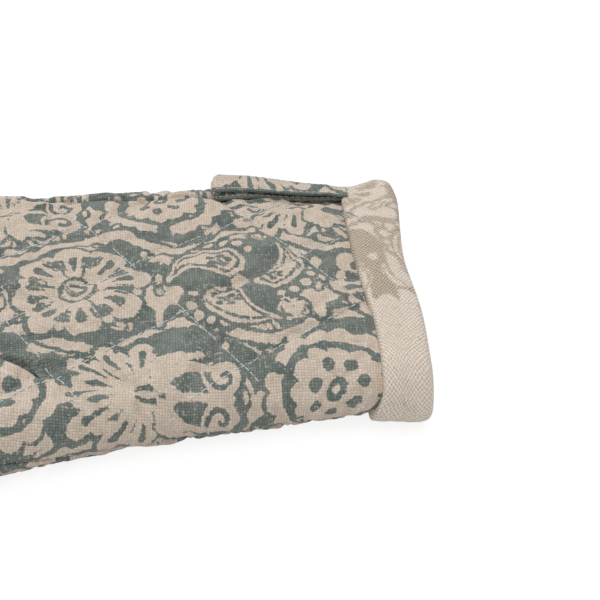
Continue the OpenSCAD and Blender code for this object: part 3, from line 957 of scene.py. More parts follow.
def band_rings():
    """The profile at every place round the cuff. The outside swells, less under the mitt, with
    slanting drag lines and puckers at the stitches, and its sewn edge is slightly uneven."""
    under = underside(ring_place)
    uneven = ripples(np.stack([ring_place, 0 * ring_place], -1), 70, 11)
    plump = band_puff * (1 + plump_uneven * uneven) * (1 - under)
    rings = []
    for x, depth, swell in band_profile():
        ring = cuff_ring(x, depth, ring_place)
        if depth < 1:
            at = np.stack([ring_place, np.full(ring_steps, x)], -1)
            slant = np.stack([(at[:, 0] + at[:, 1]) / 6, (at[:, 0] - at[:, 1]) / 18], -1)
            drag = drag_h * ripples(slant, 1.0, 12, 5)
            pucker = stitch_pull * ripples(at, 11, 13) * bell(x - band_x, 5)
            out = swell * (plump + (drag + pucker) * (1 - under))
            ring = ring + unit(ring - cuff_ring(x, depth + 1.0, ring_place)) * out[:, None]
            ring[:, 0] += edge_wave * ripples(at * [1, 0], 26, 14) * bell(x - band_x, 3)
        rings.append(ring)
    return np.stack(rings)


def make_band():
    """The band: its rings drawn in with the mitt, and joined into a tube with a hollow wall."""
    points = band_rings()
    points += drawn_in(points)
    points[..., 2] = np.maximum(points[..., 2], 0)
    along = run_lengths(band_profile()[:, :2])
    around = np.append(ring_place, 4 * ring_side)
    flat = np.stack(np.broadcast_arrays(along[:, None], around[None]), -1)
    numbers = np.arange(flat.shape[0] * flat.shape[1]).reshape(flat.shape[:2])
    wide = np.concatenate([points, points[:, :1]], 1)
    faces = squares_of(np.concatenate([numbers, numbers[:1]]))
    piece = build_mesh("cuff_binding", wide.reshape(-1, 3), [faces], turned(flat.reshape(-1, 2), bias))
    weld(piece)
    return piece


band = make_band()
fit(band, None, ["cuff_band"])
print(f"band: {len(band.data.polygons)} faces")

# %% [markdown]
# ## The hanging loop
# The loop is a strip folded in four, top-stitched and bent double. Both ends go under the band.
# A bent ribbon could be a curve with a bevel. A grid is better here, because the strip twists
# from level at its fold to the slope of the rim at its ends, and its open edge shows a groove.

# %% Path of the strip
loop_len, loop_w = 54, 10.5
strip_t = 1.6
loop_gap = 0.8
loop_z = (loop_box[0].z + loop_box[1].z) / 2 / MM
loop_x = loop_box[1].x / MM - (2 * strip_t + loop_gap) / 2
leg_rise = (strip_t + loop_gap) / 2
fold_x = loop_x - loop_len
fold_reach_x = 1.25
tip_rise, end_dip, settled = 1.2, 1.4, 0.9


def loop_path():
    """Points along the middle of the strip: the upper leg from the band to the fold, half a turn,
    and the lower leg back. Both legs dip under the band's edge at their ends, and the lower one
    settles towards the cloth."""
    x = np.linspace(band_x + 3.5, fold_x, 100)
    dip = ramp(x, loop_x - 4.5, 8)
    lifted = lerp(-0.6, tip_rise, (loop_x - x) / loop_len)
    upper = np.stack([x, loop_z + leg_rise + lifted - end_dip * dip], -1)
    half_turn = direction(np.linspace(90, 270, 17)[1:-1]) * [fold_reach_x, leg_rise]
    settle = settled * ramp(x, fold_x + 8, 30)
    lower = np.stack([x, loop_z - leg_rise - 0.6 * dip - settle], -1)[::-1]
    return np.concatenate([upper, half_turn + [fold_x + 0.4, loop_z], lower])


strip_path = loop_path()
strip_slope = unit(np.gradient(strip_path, axis=0))
strip_share = np.clip((strip_path[:, 0] - fold_x) / loop_len, 0, 1)
strip_lean = np.radians(lerp(13, -9, strip_share))
on_lower = np.arange(len(strip_path)) > len(strip_path) // 2
strip_sway = 0.2 * ripples(strip_path * [1, 0], 30, 21) + lerp(0.8, -1.2, strip_share)
strip_sway -= on_lower * 1.5 * (1 - smooth(strip_share * 1.6))
print(f"the strip is {run_lengths(strip_path)[-1]:.0f} mm long, with its fold at x = {fold_x:.1f} mm")


# %% Section of the strip
corner_cut, corner_w = 2.6, 4.5
section_points = 40
groove_deep, groove_w = 0.06, 0.25


def on_strip(across, through):
    """Points of the strip that lie across and through millimetres from its middle line, one row
    for each point of the path. The strip leans towards the thumb side at the fold and away at
    the band, and the corners of its fold are rounded by the fourth power of the share across."""
    out_x, out_z = strip_slope[:, 1:], -strip_slope[:, :1]
    at_fold = bell(strip_path[:, :1] - fold_x + 1, corner_w)
    corner = corner_cut * (2 * np.abs(across) / loop_w) ** 4 * at_fold
    x = strip_path[:, :1] - out_x * through + corner
    y = loop_y + across * np.cos(strip_lean)[:, None] + strip_sway[:, None]
    z = strip_path[:, 1:] - out_z * through + across * np.sin(strip_lean)[:, None]
    points = np.stack(np.broadcast_arrays(x, y, z), -1)
    return points + drawn_in(points)


def make_loop():
    """The strip: a flat oval section with a groove in its open edge, carried along the path."""
    c, s = direction(np.arange(section_points) * 360 / section_points).T
    wide, thick = np.sign(c) * np.abs(c) ** 0.35, np.sign(s) * np.abs(s) ** 0.55
    groove = 1 - groove_deep * bell(thick, groove_w) * (wide < 0)
    across, through = loop_w / 2 * wide * groove, strip_t / 2 * thick
    points = on_strip(across[None], through[None])
    round_it = run_lengths(np.stack([across, through], -1))
    flat = np.stack(np.broadcast_arrays(run_lengths(strip_path)[:, None], round_it[None]), -1)
    numbers = np.arange(points.shape[0] * points.shape[1]).reshape(points.shape[:2])
    faces = [squares_of(closed(numbers).T), numbers[:1], numbers[-1:, ::-1]]
    piece = build_mesh("hanging_strip", points.reshape(-1, 3), faces, flat.reshape(-1, 2))
    weld(piece)
    return piece


strip = make_loop()
fit(strip, "loop", ["hanging_loop"])
print(f"loop: {len(strip.data.polygons)} faces")

# %% [markdown]
# ## Stitches
# There are about fifteen hundred stitches. A curve for each would be slow, and a painted line would
# not catch the light. Each stitch is a short six-sided tube that rises out of the cloth, lies on
# it and dives back in, and all the stitches of one seam are made together as one array.

# %% Many threads as one mesh
thread_sides = 6


def threads(name, lines, along, up, thick, run):
    """One mesh of thin tubes. Lines holds a row of points for each thread, along and up the
    way it runs and the way out of the cloth, thick its radius at each point of a row, and run the
    distance along it."""
    around = np.arange(thread_sides) / thread_sides
    spoke = direction(360 * around)
    beside = np.cross(along, up)
    spokes = beside[..., None, :] * spoke[:, :1] + up[..., None, :] * spoke[:, 1:]
    points = lines[:, :, None] + spokes * thick[:, None, None]
    rings = np.arange(lines.shape[1] * thread_sides).reshape(-1, thread_sides)
    base = np.arange(len(lines))[:, None] * rings.size
    quads = (base[..., None] + squares_of(closed(rings))).reshape(-1, 4)
    flat = np.stack(np.broadcast_arrays(run[..., None], 2 * around), -1)
    return build_mesh(name, points.reshape(-1, 3), [quads, base + rings[0][::-1], base + rings[-1]],
                      flat.reshape(-1, 2))


def sew(name, starts, ends, normals, radius=0.24, rise=0.2, sink=0.35):
    """One mesh of stitches from starts to ends, in millimetres. Each is highest in its middle by
    rise and dives by sink at its ends, where it thins."""
    starts, ends, normals = (np.asarray(a, float) for a in (starts, ends, normals))
    t = np.array([0, 0.1, 0.32, 0.68, 0.9, 1.0])
    height = np.array([-sink, 0, rise, rise, 0, -sink])
    thick = radius * np.array([0.45, 0.95, 1, 1, 0.95, 0.45])
    along = unit(ends - starts)
    up = unit(normals - along * np.sum(normals * along, axis=1, keepdims=True))
    lines = lerp(starts[:, None], ends[:, None], t[:, None]) + up[:, None] * height[:, None]
    run = np.linalg.norm(ends - starts, axis=1)[:, None] * t
    return threads(name, lines, along[:, None], up[:, None], thick, run)


print(f"a thread has {thread_sides} sides")

# %% Dropping stitches onto the cloth
def tree_of(piece):
    """A search tree of the piece's surface, for dropping points onto it."""
    return BVHTree.FromObject(piece, bpy.context.evaluated_depsgraph_get())


def drop_onto(tree, plan, side):
    """Where vertical lines through these places first meet a surface, from above for the palm and
    from below for the back, with the surface's direction there. A miss gives no number."""
    places, normals = np.full((len(plan), 3), np.nan), np.full((len(plan), 3), np.nan)
    for i, (x, y) in enumerate(np.asarray(plan) * MM):
        hit, normal, _, _ = tree.ray_cast(Vector((x, y, 0.1 * side)), Vector((0, 0, -side)))
        if hit is not None:
            places[i], normals[i] = np.array(hit) / MM, normal
    return places, normals


wrist_top = drop_onto(tree_of(covers[0]), [[band_x - 20, 0]], PALM)[0][0, 2]
print(f"the palm's cover lies {wrist_top:.1f} mm above the table at the wrist")

# %% Quilting on both sides
stitch_len, stitch_pitch = 2.65, 3.05
line_reach, lines_each_way = 190, 7
steepest, most_drop = 0.35, 1.5
stitching = []


def quilting_runs():
    """Starts and ends of all the quilting stitches in plan: two families of parallel lines."""
    starts, ends = [], []
    s = np.arange(-line_reach, line_reach, stitch_pitch)[:, None]
    families = (quilt_mid, quilt_angle - 90, quilt_gap), (cross_mid, quilt_angle, cross_gap)
    for through, angle, gap in families:
        for k in range(-lines_each_way, lines_each_way + 1):
            line = through + direction(angle + 90) * gap * k
            starts.append(line + s * direction(angle))
            ends.append(line + (s + stitch_len) * direction(angle))
    return np.concatenate(starts), np.concatenate(ends)


def quilt(cover, side, part):
    """The quilting stitches of one cover. A stitch is left out where the cloth is too steep, where
    the band covers it, or where its ends are at different heights."""
    tree = tree_of(cover)
    dropped = [drop_onto(tree, plan, side) for plan in quilting_runs()]
    (start, start_normal), (end, end_normal) = dropped
    good = np.abs(start[:, 2] - end[:, 2]) < most_drop
    for place, normal in dropped:
        good &= (normal[:, 2] * side > steepest) & (place[:, 0] < band_x - 1.5)
    name = part_name(f"{SIDE_NAMES[side]}_quilting", part)
    piece = sew(name, start[good], end[good], (start_normal + end_normal)[good] / 2)
    fit(piece, part, [f"{SIDE_NAMES[side]}_quilting_{node}" for node in PARTS[part]])
    stitching.append(piece)
    print(f"{name}: {good.sum()} stitches")


for cover, (side, part) in zip(covers, [(side, part) for side in (PALM, BACK) for part in PARTS]):
    quilt(cover, side, part)

# %% Stitches along a line
def spaced(line, pitch, length):
    """Starts and ends of stitches along a line of points, one for each pitch."""
    s = np.arange(0.3, run_lengths(line)[-1] - length, pitch)
    return point_at(line, s), point_at(line, s + length)


def line_stitches(name, lines, out_from, radius, pitch=3.0, length=2.5):
    """Low stitches along several lines. The way out of the cloth is away from the point out_from."""
    pairs = [spaced(line, pitch, length) for line in lines]
    starts, ends = (np.concatenate(points) for points in zip(*pairs))
    ways = unit((starts + ends) / 2 - out_from)
    return sew(name, starts, ends, ways, radius=radius, rise=0.1)


seam_line = seam_lines[PALM, "cover"]
a, b = (first_join(fine, run) for run in thumb_runs)
for part, lines in (("fingers", [seam_line[:a + 1], seam_line[b:]]), ("thumb", [seam_line[a:b + 1]])):
    piece = line_stitches(part_name("seam_stitches", part), lines, [20, 0, mid_z], 0.22)
    fit(piece, part, [f"seam_thread_{node}" for node in PARTS[part]])
    stitching.append(piece)

ditch_off, ditch_deep, ditch_lift = 0.25, 1.9, 0.6
ditch = cuff_ring(band_x - ditch_off, ditch_deep, np.linspace(0, 4 * ring_side, 700))
ditch += drawn_in(ditch)
ditch[:, 2] = np.maximum(ditch[:, 2], ditch_lift)
piece = line_stitches("ditch_stitches", [ditch], [band_x + 6, 0, mid_z], 0.2)
fit(piece, None, ["band_stitching"])
stitching.append(piece)
print(f"seam and ditch: {len(stitching)} pieces of stitching so far")

# %% Loose tails
tail_steps, tail_rounds, tail_taper = 40, 6, 1.5
tail_rise = (0.1, 0.6, 1.0, 0.8, 0.4)
TAILS = [[(132.6, 37.6), (134.2, 36.9), (136.0, 34.0), (137.6, 31.2), (138.6, 29.0)],
         [(134.8, 38.6), (136.9, 36.6), (139.6, 32.6), (142.0, 28.8), (143.4, 24.6)]]


def loose_tail(name, path, radius=0.2):
    """A thread along a path of points. The path is cut into even steps and rounded by taking each
    point's mean with its neighbours, and the thread thins at both ends."""
    s = np.linspace(0, run_lengths(path)[-1], tail_steps)
    line = point_at(path, s)
    for _ in range(tail_rounds):
        line[1:-1] = (line[:-2] + 2 * line[1:-1] + line[2:]) / 4
    along = unit(np.gradient(line, axis=0))
    up = np.cross(unit(np.cross(along, [0, 0, 1])), along)
    thick = radius * np.minimum(1, 0.3 + np.minimum(s, s[::-1]) / tail_taper)
    return threads(name, line[None], along[None], up[None], thick, s[None])


surfaces = [tree_of(covers[0]), tree_of(band)]
for number, plan in enumerate(TAILS, 1):
    heights = np.nanmax([drop_onto(tree, plan, PALM)[0][:, 2] for tree in surfaces], axis=0)
    path = np.column_stack([plan, heights + tail_rise])
    piece = loose_tail(f"loose_tail_{number}", path)
    fit(piece, None, ["band_stitching"])
    stitching.append(piece)
    print(f"loose tail {number}: {run_lengths(path)[-1]:.0f} mm long")

# %% Top-stitching of the loop
edge_gap = 1.3
bare_ends = slice(6, -6)


def strip_stitches():
    """Two rows of stitches on each face of the strip. The way out of the cloth is from the strip's
    middle to its face."""
    starts, ends, ways = [], [], []
    for edge in (-loop_w / 2 + edge_gap, loop_w / 2 - edge_gap):
        core = on_strip(np.array([[edge]]), np.array([[0]]))[bare_ends, 0]
        for face in (-1, 1):
            line = on_strip(np.array([[edge]]), np.array([[face * strip_t / 2]]))[bare_ends, 0]
            start, end = spaced(line, 2.7, 2.2)
            near = [np.argmin(np.linalg.norm(line - p, axis=1)) for p in (start + end) / 2]
            starts.append(start)
            ends.append(end)
            ways.append(unit(line[near] - core[near]))
    stitches = (np.concatenate(part) for part in (starts, ends, ways))
    return sew("strip_stitches", *stitches, radius=0.15, rise=0.02)


piece = strip_stitches()
fit(piece, "loop", ["loop_stitching"])
stitching.append(piece)
print(f"stitching: {sum(len(p.data.polygons) for p in stitching)} faces in {len(stitching)} pieces")

# %% [markdown]
# ## The block print
# The cloth is printed by hand blocks with an old floral repeat: rosettes, palmettes, flowers and
# whorls in a half-drop, with scrolling stems between them, left bare on a slate-green ground.
# A picture of the print would be easier, but it would blur close to. Here every
# motif is a distance: how far, in millimetres, a place lies inside the bare shape, below zero on
# the printed ground. The union of two shapes is the larger distance, and a cut is the smaller.

# %% Shapes as distances
def disc(p, r):
    """A round spot of radius r."""
    return r - np.linalg.norm(p, axis=-1)


def scalloped(p, r, count, depth):
    """A round spot whose edge has count scallops of that depth."""
    a = np.arctan2(p[..., 1], p[..., 0])
    return r + depth * np.abs(np.cos(count * a / 2)) ** 0.6 - np.linalg.norm(p, axis=-1)


def spun(p, count, turn=0.0):
    """Folds the plane into count equal sectors, each with its middle along +X."""
    a = np.arctan2(p[..., 1], p[..., 0]) - math.radians(turn)
    step = 2 * math.pi / count
    a = (a + step / 2) % step - step / 2
    r = np.linalg.norm(p, axis=-1)
    return np.stack([r * np.cos(a), r * np.sin(a)], -1)


def mirrored(p):
    """Folds the plane along the X axis."""
    return np.stack([p[..., 0], np.abs(p[..., 1])], -1)


def facing(p, at, angle):
    """Places seen from a point, with +X along that angle."""
    v = p - np.asarray(at, float)
    d, s = direction(angle), direction(angle + 90)
    return np.stack([v @ d, v @ s], -1)


def leaf(p, length, half, bend=0.0, sharp=0.7):
    """A leaf along +X from the origin: its half width rises and falls as a sine, and its middle
    line bows to one side."""
    t = np.clip(p[..., 0] / length, 0, 1)
    middle = bend * np.sin(math.pi * t)
    wide = half * np.sin(math.pi * t**0.8) ** sharp
    off = np.hypot(p[..., 0] - t * length, p[..., 1] - middle)
    return np.where((t > 0) & (t < 1), wide - np.abs(p[..., 1] - middle), -off)


def stroke(p, length, start, end, bend=0.0):
    """A stroke along +X with round ends, of radius start at the origin and end at its tip."""
    t = np.clip(p[..., 0] / length, 0, 1)
    off = np.hypot(p[..., 0] - t * length, p[..., 1] - bend * np.sin(math.pi * t))
    return lerp(start, end, t) - off


def curl(p, pitch, turns, half, hand=1):
    """A spiral stroke that winds out from the origin, pitch wide at each turn."""
    r = np.linalg.norm(p, axis=-1)
    a = (hand * np.arctan2(p[..., 1], p[..., 0]) / (2 * math.pi)) % 1
    turn = np.round(r / pitch - a)
    off = np.abs(r - (turn + a) * pitch)
    return np.minimum(half - off, turns * pitch + half / 2 - r)


def union(*shapes):
    """What is in any of the shapes."""
    return np.maximum.reduce(np.broadcast_arrays(*shapes))


def cut(shape, *holes):
    """A shape with others cut out of it."""
    return np.minimum(shape, -union(*holes))


def lined(shape, inset, width):
    """A shape with a line cut along the inside of its edge."""
    return cut(shape, np.minimum(shape - inset, inset + width - shape))


print(f"2 mm from the middle of a 5 mm spot is {disc(np.array([2.0, 0.0]), 5):.0f} mm inside it")

# %% The motifs
def rosette(p):
    """A scalloped spot with a ring of dots, in a broken collar with a toothed edge."""
    ring = spun(p, 7, 12) - [8.1, 0]
    heart = cut(scalloped(p, 13.2, 12, 2.8), disc(ring, 2.3), cut(disc(p, 3.4), disc(p, 1.2)))
    collar = cut(scalloped(p, 21.8, 17, 2.8), disc(p, 18.8))
    return union(heart, cut(collar, stroke(facing(spun(p, 3, 35), [16, 0], 0), 12, 1.5, 3.4)))


def palmette(p):
    """A fan of seven lobed leaves over a heart with an eye, two pairs of feathers and a stalk."""
    leaves = []
    for a, size in ((-88, 14), (-58, 18), (-29, 22), (0, 26), (29, 22), (58, 18), (88, 14)):
        own = facing(p, direction(a) * 5, a)
        lobes = stroke(facing(mirrored(own), [size * 0.5, 0], 42), size * 0.30, 2.0, 1.8)
        blade = union(stroke(own, size, 1.8, 3.6), lobes)
        leaves.append(cut(blade, stroke(own - [size * 0.40, 0], size * 0.46, 0.6, 1.5)))
    eye = cut(leaf(facing(p, [-8, 0], 0), 16, 3.6), leaf(facing(p, [-4.4, 0], 0), 8.4, 1.2))
    heart = cut(stroke(facing(p, [-4, 0], 0), 7, 6.0, 4.6), eye)
    folded = mirrored(p)
    feathers = [stroke(facing(folded, [-5, 3], a), size, 2.0, 1.5, bow) for a, size, bow in
                ((112, 15, -3), (132, 18, -4), (154, 19, -4))]
    stalk = union(stroke(facing(p, [-8, 0], 180), 20, 1.8, 1.4),
                  curl(facing(folded, [-24, 7.5], 180), 5.2, 1.3, 1.5))
    return union(*leaves, heart, *feathers, stalk)


def star_flower(p):
    """Eight round petals with a drop and two veins in each, round an eye, with dots between."""
    petal = spun(p, 8, 10)
    body = stroke(petal - [6, 0], 15.4, 2.4, 6.6)
    drop = stroke(petal - [13.0, 0], 6.6, 0.5, 2.3)
    veins = stroke(facing(mirrored(petal), [13.6, 3.5], 15), 6.5, 0.6, 0.95)
    seed = disc(spun(p, 8, 32.5) - [23.2, 0], 1.9)
    eye = cut(disc(p, 5.8), cut(disc(p, 4.1), disc(p, 1.8)))
    return union(cut(body, drop, veins, disc(p, 7.7)), seed, eye)


def whorl(p):
    """Three tear-shaped leaves that chase each other, lined inside their edges, with a flower in
    each and a row of teeth behind."""
    third = spun(p, 3, 20)
    heart = facing(third, [12, -2], 0)
    tear = stroke(facing(heart, [0, 0], 66), 19, 8.4, 1.4, -5.0)
    flower = union(disc(spun(heart, 5, 20) - [2.8, 0], 1.5), disc(heart, 1.1))
    teeth = np.where(heart[..., 1] < 4, disc(spun(heart, 14) - [12.4, 0], 1.8), -3.0)
    return union(cut(lined(tear, 1.5, 1.5), flower), np.minimum(teeth, -1.4 - tear), disc(p, 2.8))


def tulip(p):
    """Three petals on a short stalk, the middle one with an eye."""
    side = stroke(facing(mirrored(p), [0, 1.2], 40), 8.5, 1.5, 3.9)
    middle = cut(leaf(p, 16, 4.6), cut(leaf(p - [4.0, 0], 9, 2.5), leaf(p - [5.8, 0], 5.4, 0.9)))
    return union(side, middle, stroke(facing(p, [0, 0], 180), 7, 1.7, 1.2))


def sprig(p):
    """A small fir-like sprig: a stalk with pairs of short leaves."""
    pairs = [stroke(facing(mirrored(p), [x, 0], 52), 6.0 - 0.3 * x, 1.5, 0.9)
             for x in (0.5, 4.4, 8.3, 12.0)]
    return union(stroke(p, 16.5, 1.3, 1.2), *pairs)


for motif in (rosette, palmette, star_flower, whorl, tulip, sprig):
    print(f"{motif.__name__}: its centre lies {motif(np.zeros((1, 2)))[0]:.1f} mm inside the bare cloth")


# %% Where the motifs sit in the repeat
repeat_w, repeat_drop = 131, 120
print_start = np.array([122, -70])
# place in the repeat, angle, and length or size, where a dot has only its radius
TULIPS = [(64, 46, 90, 1.15), (-2, 44, 88, 1.15), (31, -8, 86, 1.0), (97, -10, 92, 1.0), (66, 106, 92, 1.0)]
SPRIGS = [(2, 90, -58), (-4, 88, -122), (60, 86, -58), (70, 88, -122), (30, -22, -88), (98, -24, -92),
          (44, 99, 8), (90, 99, 172), (14, 25, 14), (-18, 25, 166)]
LEAVES = [(19, -24, -50, 15), (-24, -25, 130, 15), (-22, 24, 200, 13), (22, 20, 0, 13), (4, 34, 60, 14),
          (-10, 34, 120, 14), (74, 34, 60, 13), (54, 34, 122, 13), (2, 100, -120, 13), (8, 100, -50, 13),
          (120, 34, 60, 13), (42, -32, 100, 12), (86, -32, 80, 12), (110, 100, 30, 14), (20, 100, 150, 14)]
DOTS = [(31, 20, 2.4), (97, 20, 2.4), (65, 74, 2.6), (-1, 74, 2.6), (24, 108, 2.4), (108, 108, 2.4),
        (52, 108, 2.4), (80, 108, 2.4), (12, 52, 1.9), (-14, 52, 1.9), (50, 52, 1.9), (78, 52, 1.9),
        (40, 22, 1.8), (88, 22, 1.8), (12, 118, 1.8), (-12, 118, 1.8)]
# height in the repeat and phase of each scrolling stem, and its half width and swing
VINES = [(30, 0.8), (90, -2.1)]
vine_half, vine_swing = 2.2, 7.5
hand_bend, hand_waver, worn_edge, worn_fine = 1.5, 0.6, 0.14, 0.1
print(f"a repeat has {len(TULIPS + SPRIGS + LEAVES + DOTS)} small motifs between its four large ones")


# %% The repeat
def tiled(plan, at):
    """Places seen from the nearest copy of a motif that sits at that point of the repeat."""
    v = plan - print_start - np.asarray(at, float)
    row = np.round(v[..., 1] / repeat_drop)
    x = (v[..., 0] - row * repeat_w / 2 + repeat_w / 2) % repeat_w - repeat_w / 2
    return np.stack([x, v[..., 1] - row * repeat_drop], -1)


def vine(p, y, phase):
    """A stem that scrolls along the repeat at height y: its half width less the distance to a sine."""
    v = tiled(p, [0, y])
    wave = v[..., 1] - vine_swing * np.sin(4 * math.pi * v[..., 0] / repeat_w + phase)
    return vine_half - np.abs(wave) / 1.15


def block_print(plan):
    """The whole print as a distance: above zero where the cloth stays bare. The repeat is bent a
    little by hand, stems and leaves fill the ground between the motifs, each a gap away from what
    is there, and the edges of the blocks are worn."""
    wander, waver = (np.stack([ripples(plan, wave, seed), ripples(plan, wave, seed + 1)], -1)
                     for wave, seed in ((60, 31), (21, 35)))
    p = plan + hand_bend * wander + hand_waver * waver

    def at(x, y, turn=0, size=1.0):
        """Places seen from a motif of that size, turned by that angle."""
        return facing(tiled(p, [x, y]), [0, 0], turn) / size

    bare = union(1.06 * rosette(at(0, 0, 0, 1.06)), 1.12 * palmette(at(60, -2, 180, 1.12)),
                 1.02 * star_flower(at(32, 59, 0, 1.02)), 1.15 * whorl(at(98, 60, 0, 1.15)))
    tulips = [size * tulip(at(x, y, turn, size)) for x, y, turn, size in TULIPS]
    vines = [vine(p, *row) for row in VINES]
    sprigs = [sprig(at(*place)) for place in SPRIGS]
    leaves = [lined(leaf(at(x, y, turn), size, size * 0.34, size * 0.12), 1.4, 1.4)
              for x, y, turn, size in LEAVES]
    dots = [disc(at(x, y), r) for x, y, r in DOTS]
    for shapes, gap in ((tulips, 2.2), (vines, 2.7), (sprigs, 2.1), (leaves, 2.1), (dots, 2.0)):
        bare = np.maximum(bare, np.minimum(union(*shapes), -gap - bare))
    worn = worn_edge * ripples(plan, 5.2, 33) + worn_fine * ripples(plan, 2.6, 34)
    return bare + 0.1 + worn


sample = np.stack(np.meshgrid(np.arange(0, repeat_w, 2.0), np.arange(0, repeat_drop, 2.0)), -1)
print(f"{np.mean(block_print(sample) > 0):.0%} of the cloth stays bare")

# %% [markdown]
# ## Cloth materials
# The cover is plain-woven cotton and linen: each thread goes over one and under the next. At
# arm's length the threads are just visible, so they need height, gaps and a tone of their own.
# A noise texture would look like felt. This weave is worked out from the flat place on the
# cloth, in a node group that every cloth of the mitt shares with its own thread size.

# %% Short ways to add nodes
def add_node(tree, kind, inputs=(), **settings):
    """A new node with these settings. Inputs are pairs of socket and value or linked output."""
    node = tree.nodes.new(kind)
    for name, value in settings.items():
        setattr(node, name, value)
    for socket, value in inputs:
        if isinstance(value, bpy.types.NodeSocket):
            tree.links.new(value, node.inputs[socket])
        else:
            node.inputs[socket].default_value = value
    return node


def calc(tree, operation, *values):
    """One step of arithmetic, and its result."""
    return add_node(tree, "ShaderNodeMath", enumerate(values), operation=operation).outputs[0]


def step_up(tree, value, low, high):
    """A smooth step: 0 below low, 1 above high."""
    return add_node(tree, "ShaderNodeMapRange", (("Value", value), ("From Min", low), ("From Max", high)),
                    interpolation_type="SMOOTHSTEP").outputs[0]


def swayed(tree, value, by, much):
    """A value plus that much of another one, which is 0.5 on average."""
    return calc(tree, "MULTIPLY_ADD", calc(tree, "SUBTRACT", by, 0.5), much, value)


def sine(tree, value):
    """The sine of a value counted in half turns."""
    return calc(tree, "SINE", calc(tree, "MULTIPLY", value, math.pi))


def noise(tree, place, scale, detail=2.0, roughness=0.5):
    """Smooth noise from 0 to 1, scale waves to a unit of the place."""
    inputs = (("Vector", place), ("Scale", scale), ("Detail", detail), ("Roughness", roughness))
    return add_node(tree, "ShaderNodeTexNoise", inputs).outputs["Fac"]


def mix_colour(tree, share, low, high):
    """One colour where share is 0, the other where it is 1, mixed in between."""
    return add_node(tree, "ShaderNodeMix", ((0, share), (6, low), (7, high)), data_type="RGBA").outputs[2]


def colour(red, green, blue):
    """A colour given as it looks on a screen, 0 to 255, turned into the light values Blender uses."""
    def linear(value):
        """The light value: nearly a power of 2.4, and a straight line close to black."""
        v = value / 255
        return v / 12.92 if v <= 0.04045 else ((v + 0.055) / 1.055) ** 2.4
    return (linear(red), linear(green), linear(blue), 1.0)


print("mid grey on a screen is the light value", round(colour(128, 128, 128)[0], 3))

# %% The weave
def make_weave():
    """A node group for plain weave. It takes the flat place in millimetres and the thread pitch,
    and gives the height of the threads, the gaps between them, where the materials paint shade, a
    tone for each thread and sparse flecks of coloured fibre."""
    group = bpy.data.node_groups.new("plain_weave", "ShaderNodeTree")
    sockets = group.interface
    sockets.new_socket("Place", in_out="INPUT", socket_type="NodeSocketVector")
    sockets.new_socket("Pitch", in_out="INPUT", socket_type="NodeSocketFloat")
    for name in ("Height", "Gap", "Tone", "Fleck"):
        sockets.new_socket(name, in_out="OUTPUT", socket_type="NodeSocketFloat")
    source = add_node(group, "NodeGroupInput").outputs
    place = source["Place"]
    scaled = add_node(group, "ShaderNodeVectorMath", ((0, place), (1, source["Pitch"])), operation="DIVIDE")
    split = add_node(group, "ShaderNodeSeparateXYZ", ((0, scaled.outputs[0]),)).outputs
    wobble = calc(group, "MULTIPLY", noise(group, place, 0.11, 3), 1.2)
    slub = calc(group, "MULTIPLY_ADD", noise(group, place, 0.5, 1), 0.9, wobble)
    u, v = calc(group, "ADD", split[0], slub), calc(group, "SUBTRACT", split[1], slub)
    whole_u, whole_v = calc(group, "FLOOR", u), calc(group, "FLOOR", v)

    def thread(across, along, own, sign):
        """Roundness and height of one set of threads: a sine across, and up and down along."""
        profile = calc(group, "ABSOLUTE", sine(group, across))
        rise = calc(group, "MULTIPLY_ADD", sine(group, calc(group, "ADD", along, own)), 0.5 * sign, 0.5)
        return profile, calc(group, "MULTIPLY", calc(group, "POWER", profile, 0.6), rise)

    def thread_tone(own, along):
        """A tone for each thread that drifts slowly along it."""
        steps = enumerate((calc(group, "MULTIPLY", own, 7.31), calc(group, "MULTIPLY", along, 0.09)))
        return noise(group, add_node(group, "ShaderNodeCombineXYZ", steps).outputs[0], 1.0, 1)

    def flecks(x_scale, y_scale, shift):
        """Short coloured fibres that lie along one set of threads."""
        inputs = enumerate((place, (x_scale, y_scale, 1), (shift,) * 3))
        stretched = add_node(group, "ShaderNodeVectorMath", inputs, operation="MULTIPLY_ADD").outputs[0]
        return step_up(group, noise(group, stretched, 1.0, 2), 0.70, 0.76)

    warp_round, warp = thread(u, v, whole_u, 1)
    weft_round, weft = thread(v, u, whole_v, -1)
    height = calc(group, "MAXIMUM", warp, weft)
    gap = calc(group, "MULTIPLY", *(calc(group, "SUBTRACT", 1, a) for a in (warp_round, weft_round)))
    is_warp = calc(group, "GREATER_THAN", warp, weft)
    warp_tone, weft_tone = thread_tone(whole_u, v), thread_tone(calc(group, "ADD", whole_v, 300), u)
    tone = add_node(group, "ShaderNodeMix", ((0, is_warp), (2, weft_tone), (3, warp_tone))).outputs[0]
    crossing = add_node(group, "ShaderNodeCombineXYZ", ((0, whole_u), (1, whole_v))).outputs[0]
    own_tone = add_node(group, "ShaderNodeTexWhiteNoise", (("Vector", crossing),), noise_dimensions="2D")
    tone = swayed(group, tone, own_tone.outputs[0], 0.5)
    fleck = calc(group, "MAXIMUM", flecks(0.16, 0.85, 0), flecks(0.85, 0.16, 50))
    add_node(group, "NodeGroupOutput", enumerate((height, gap, tone, fleck)))
    return group


weave = make_weave()
outputs = [item.name for item in weave.interface.items_tree if item.in_out == "OUTPUT"]
print("weave group outputs:", outputs)

# %% A blank cloth material to build on
fuzz_roughness, cloth_shine = 0.6, 0.25


def start_material(name, roughness, sheen=0.0):
    """A material with an empty Principled shader, its node tree, and that shader."""
    material = bpy.data.materials.new(name)
    material.use_nodes = True
    tree = material.node_tree
    shader = tree.nodes["Principled BSDF"]
    shader.inputs["Roughness"].default_value = roughness
    shader.inputs["Sheen Weight"].default_value = sheen
    shader.inputs["Sheen Roughness"].default_value = fuzz_roughness
    shader.inputs["Specular IOR Level"].default_value = cloth_shine
    return material, tree, shader


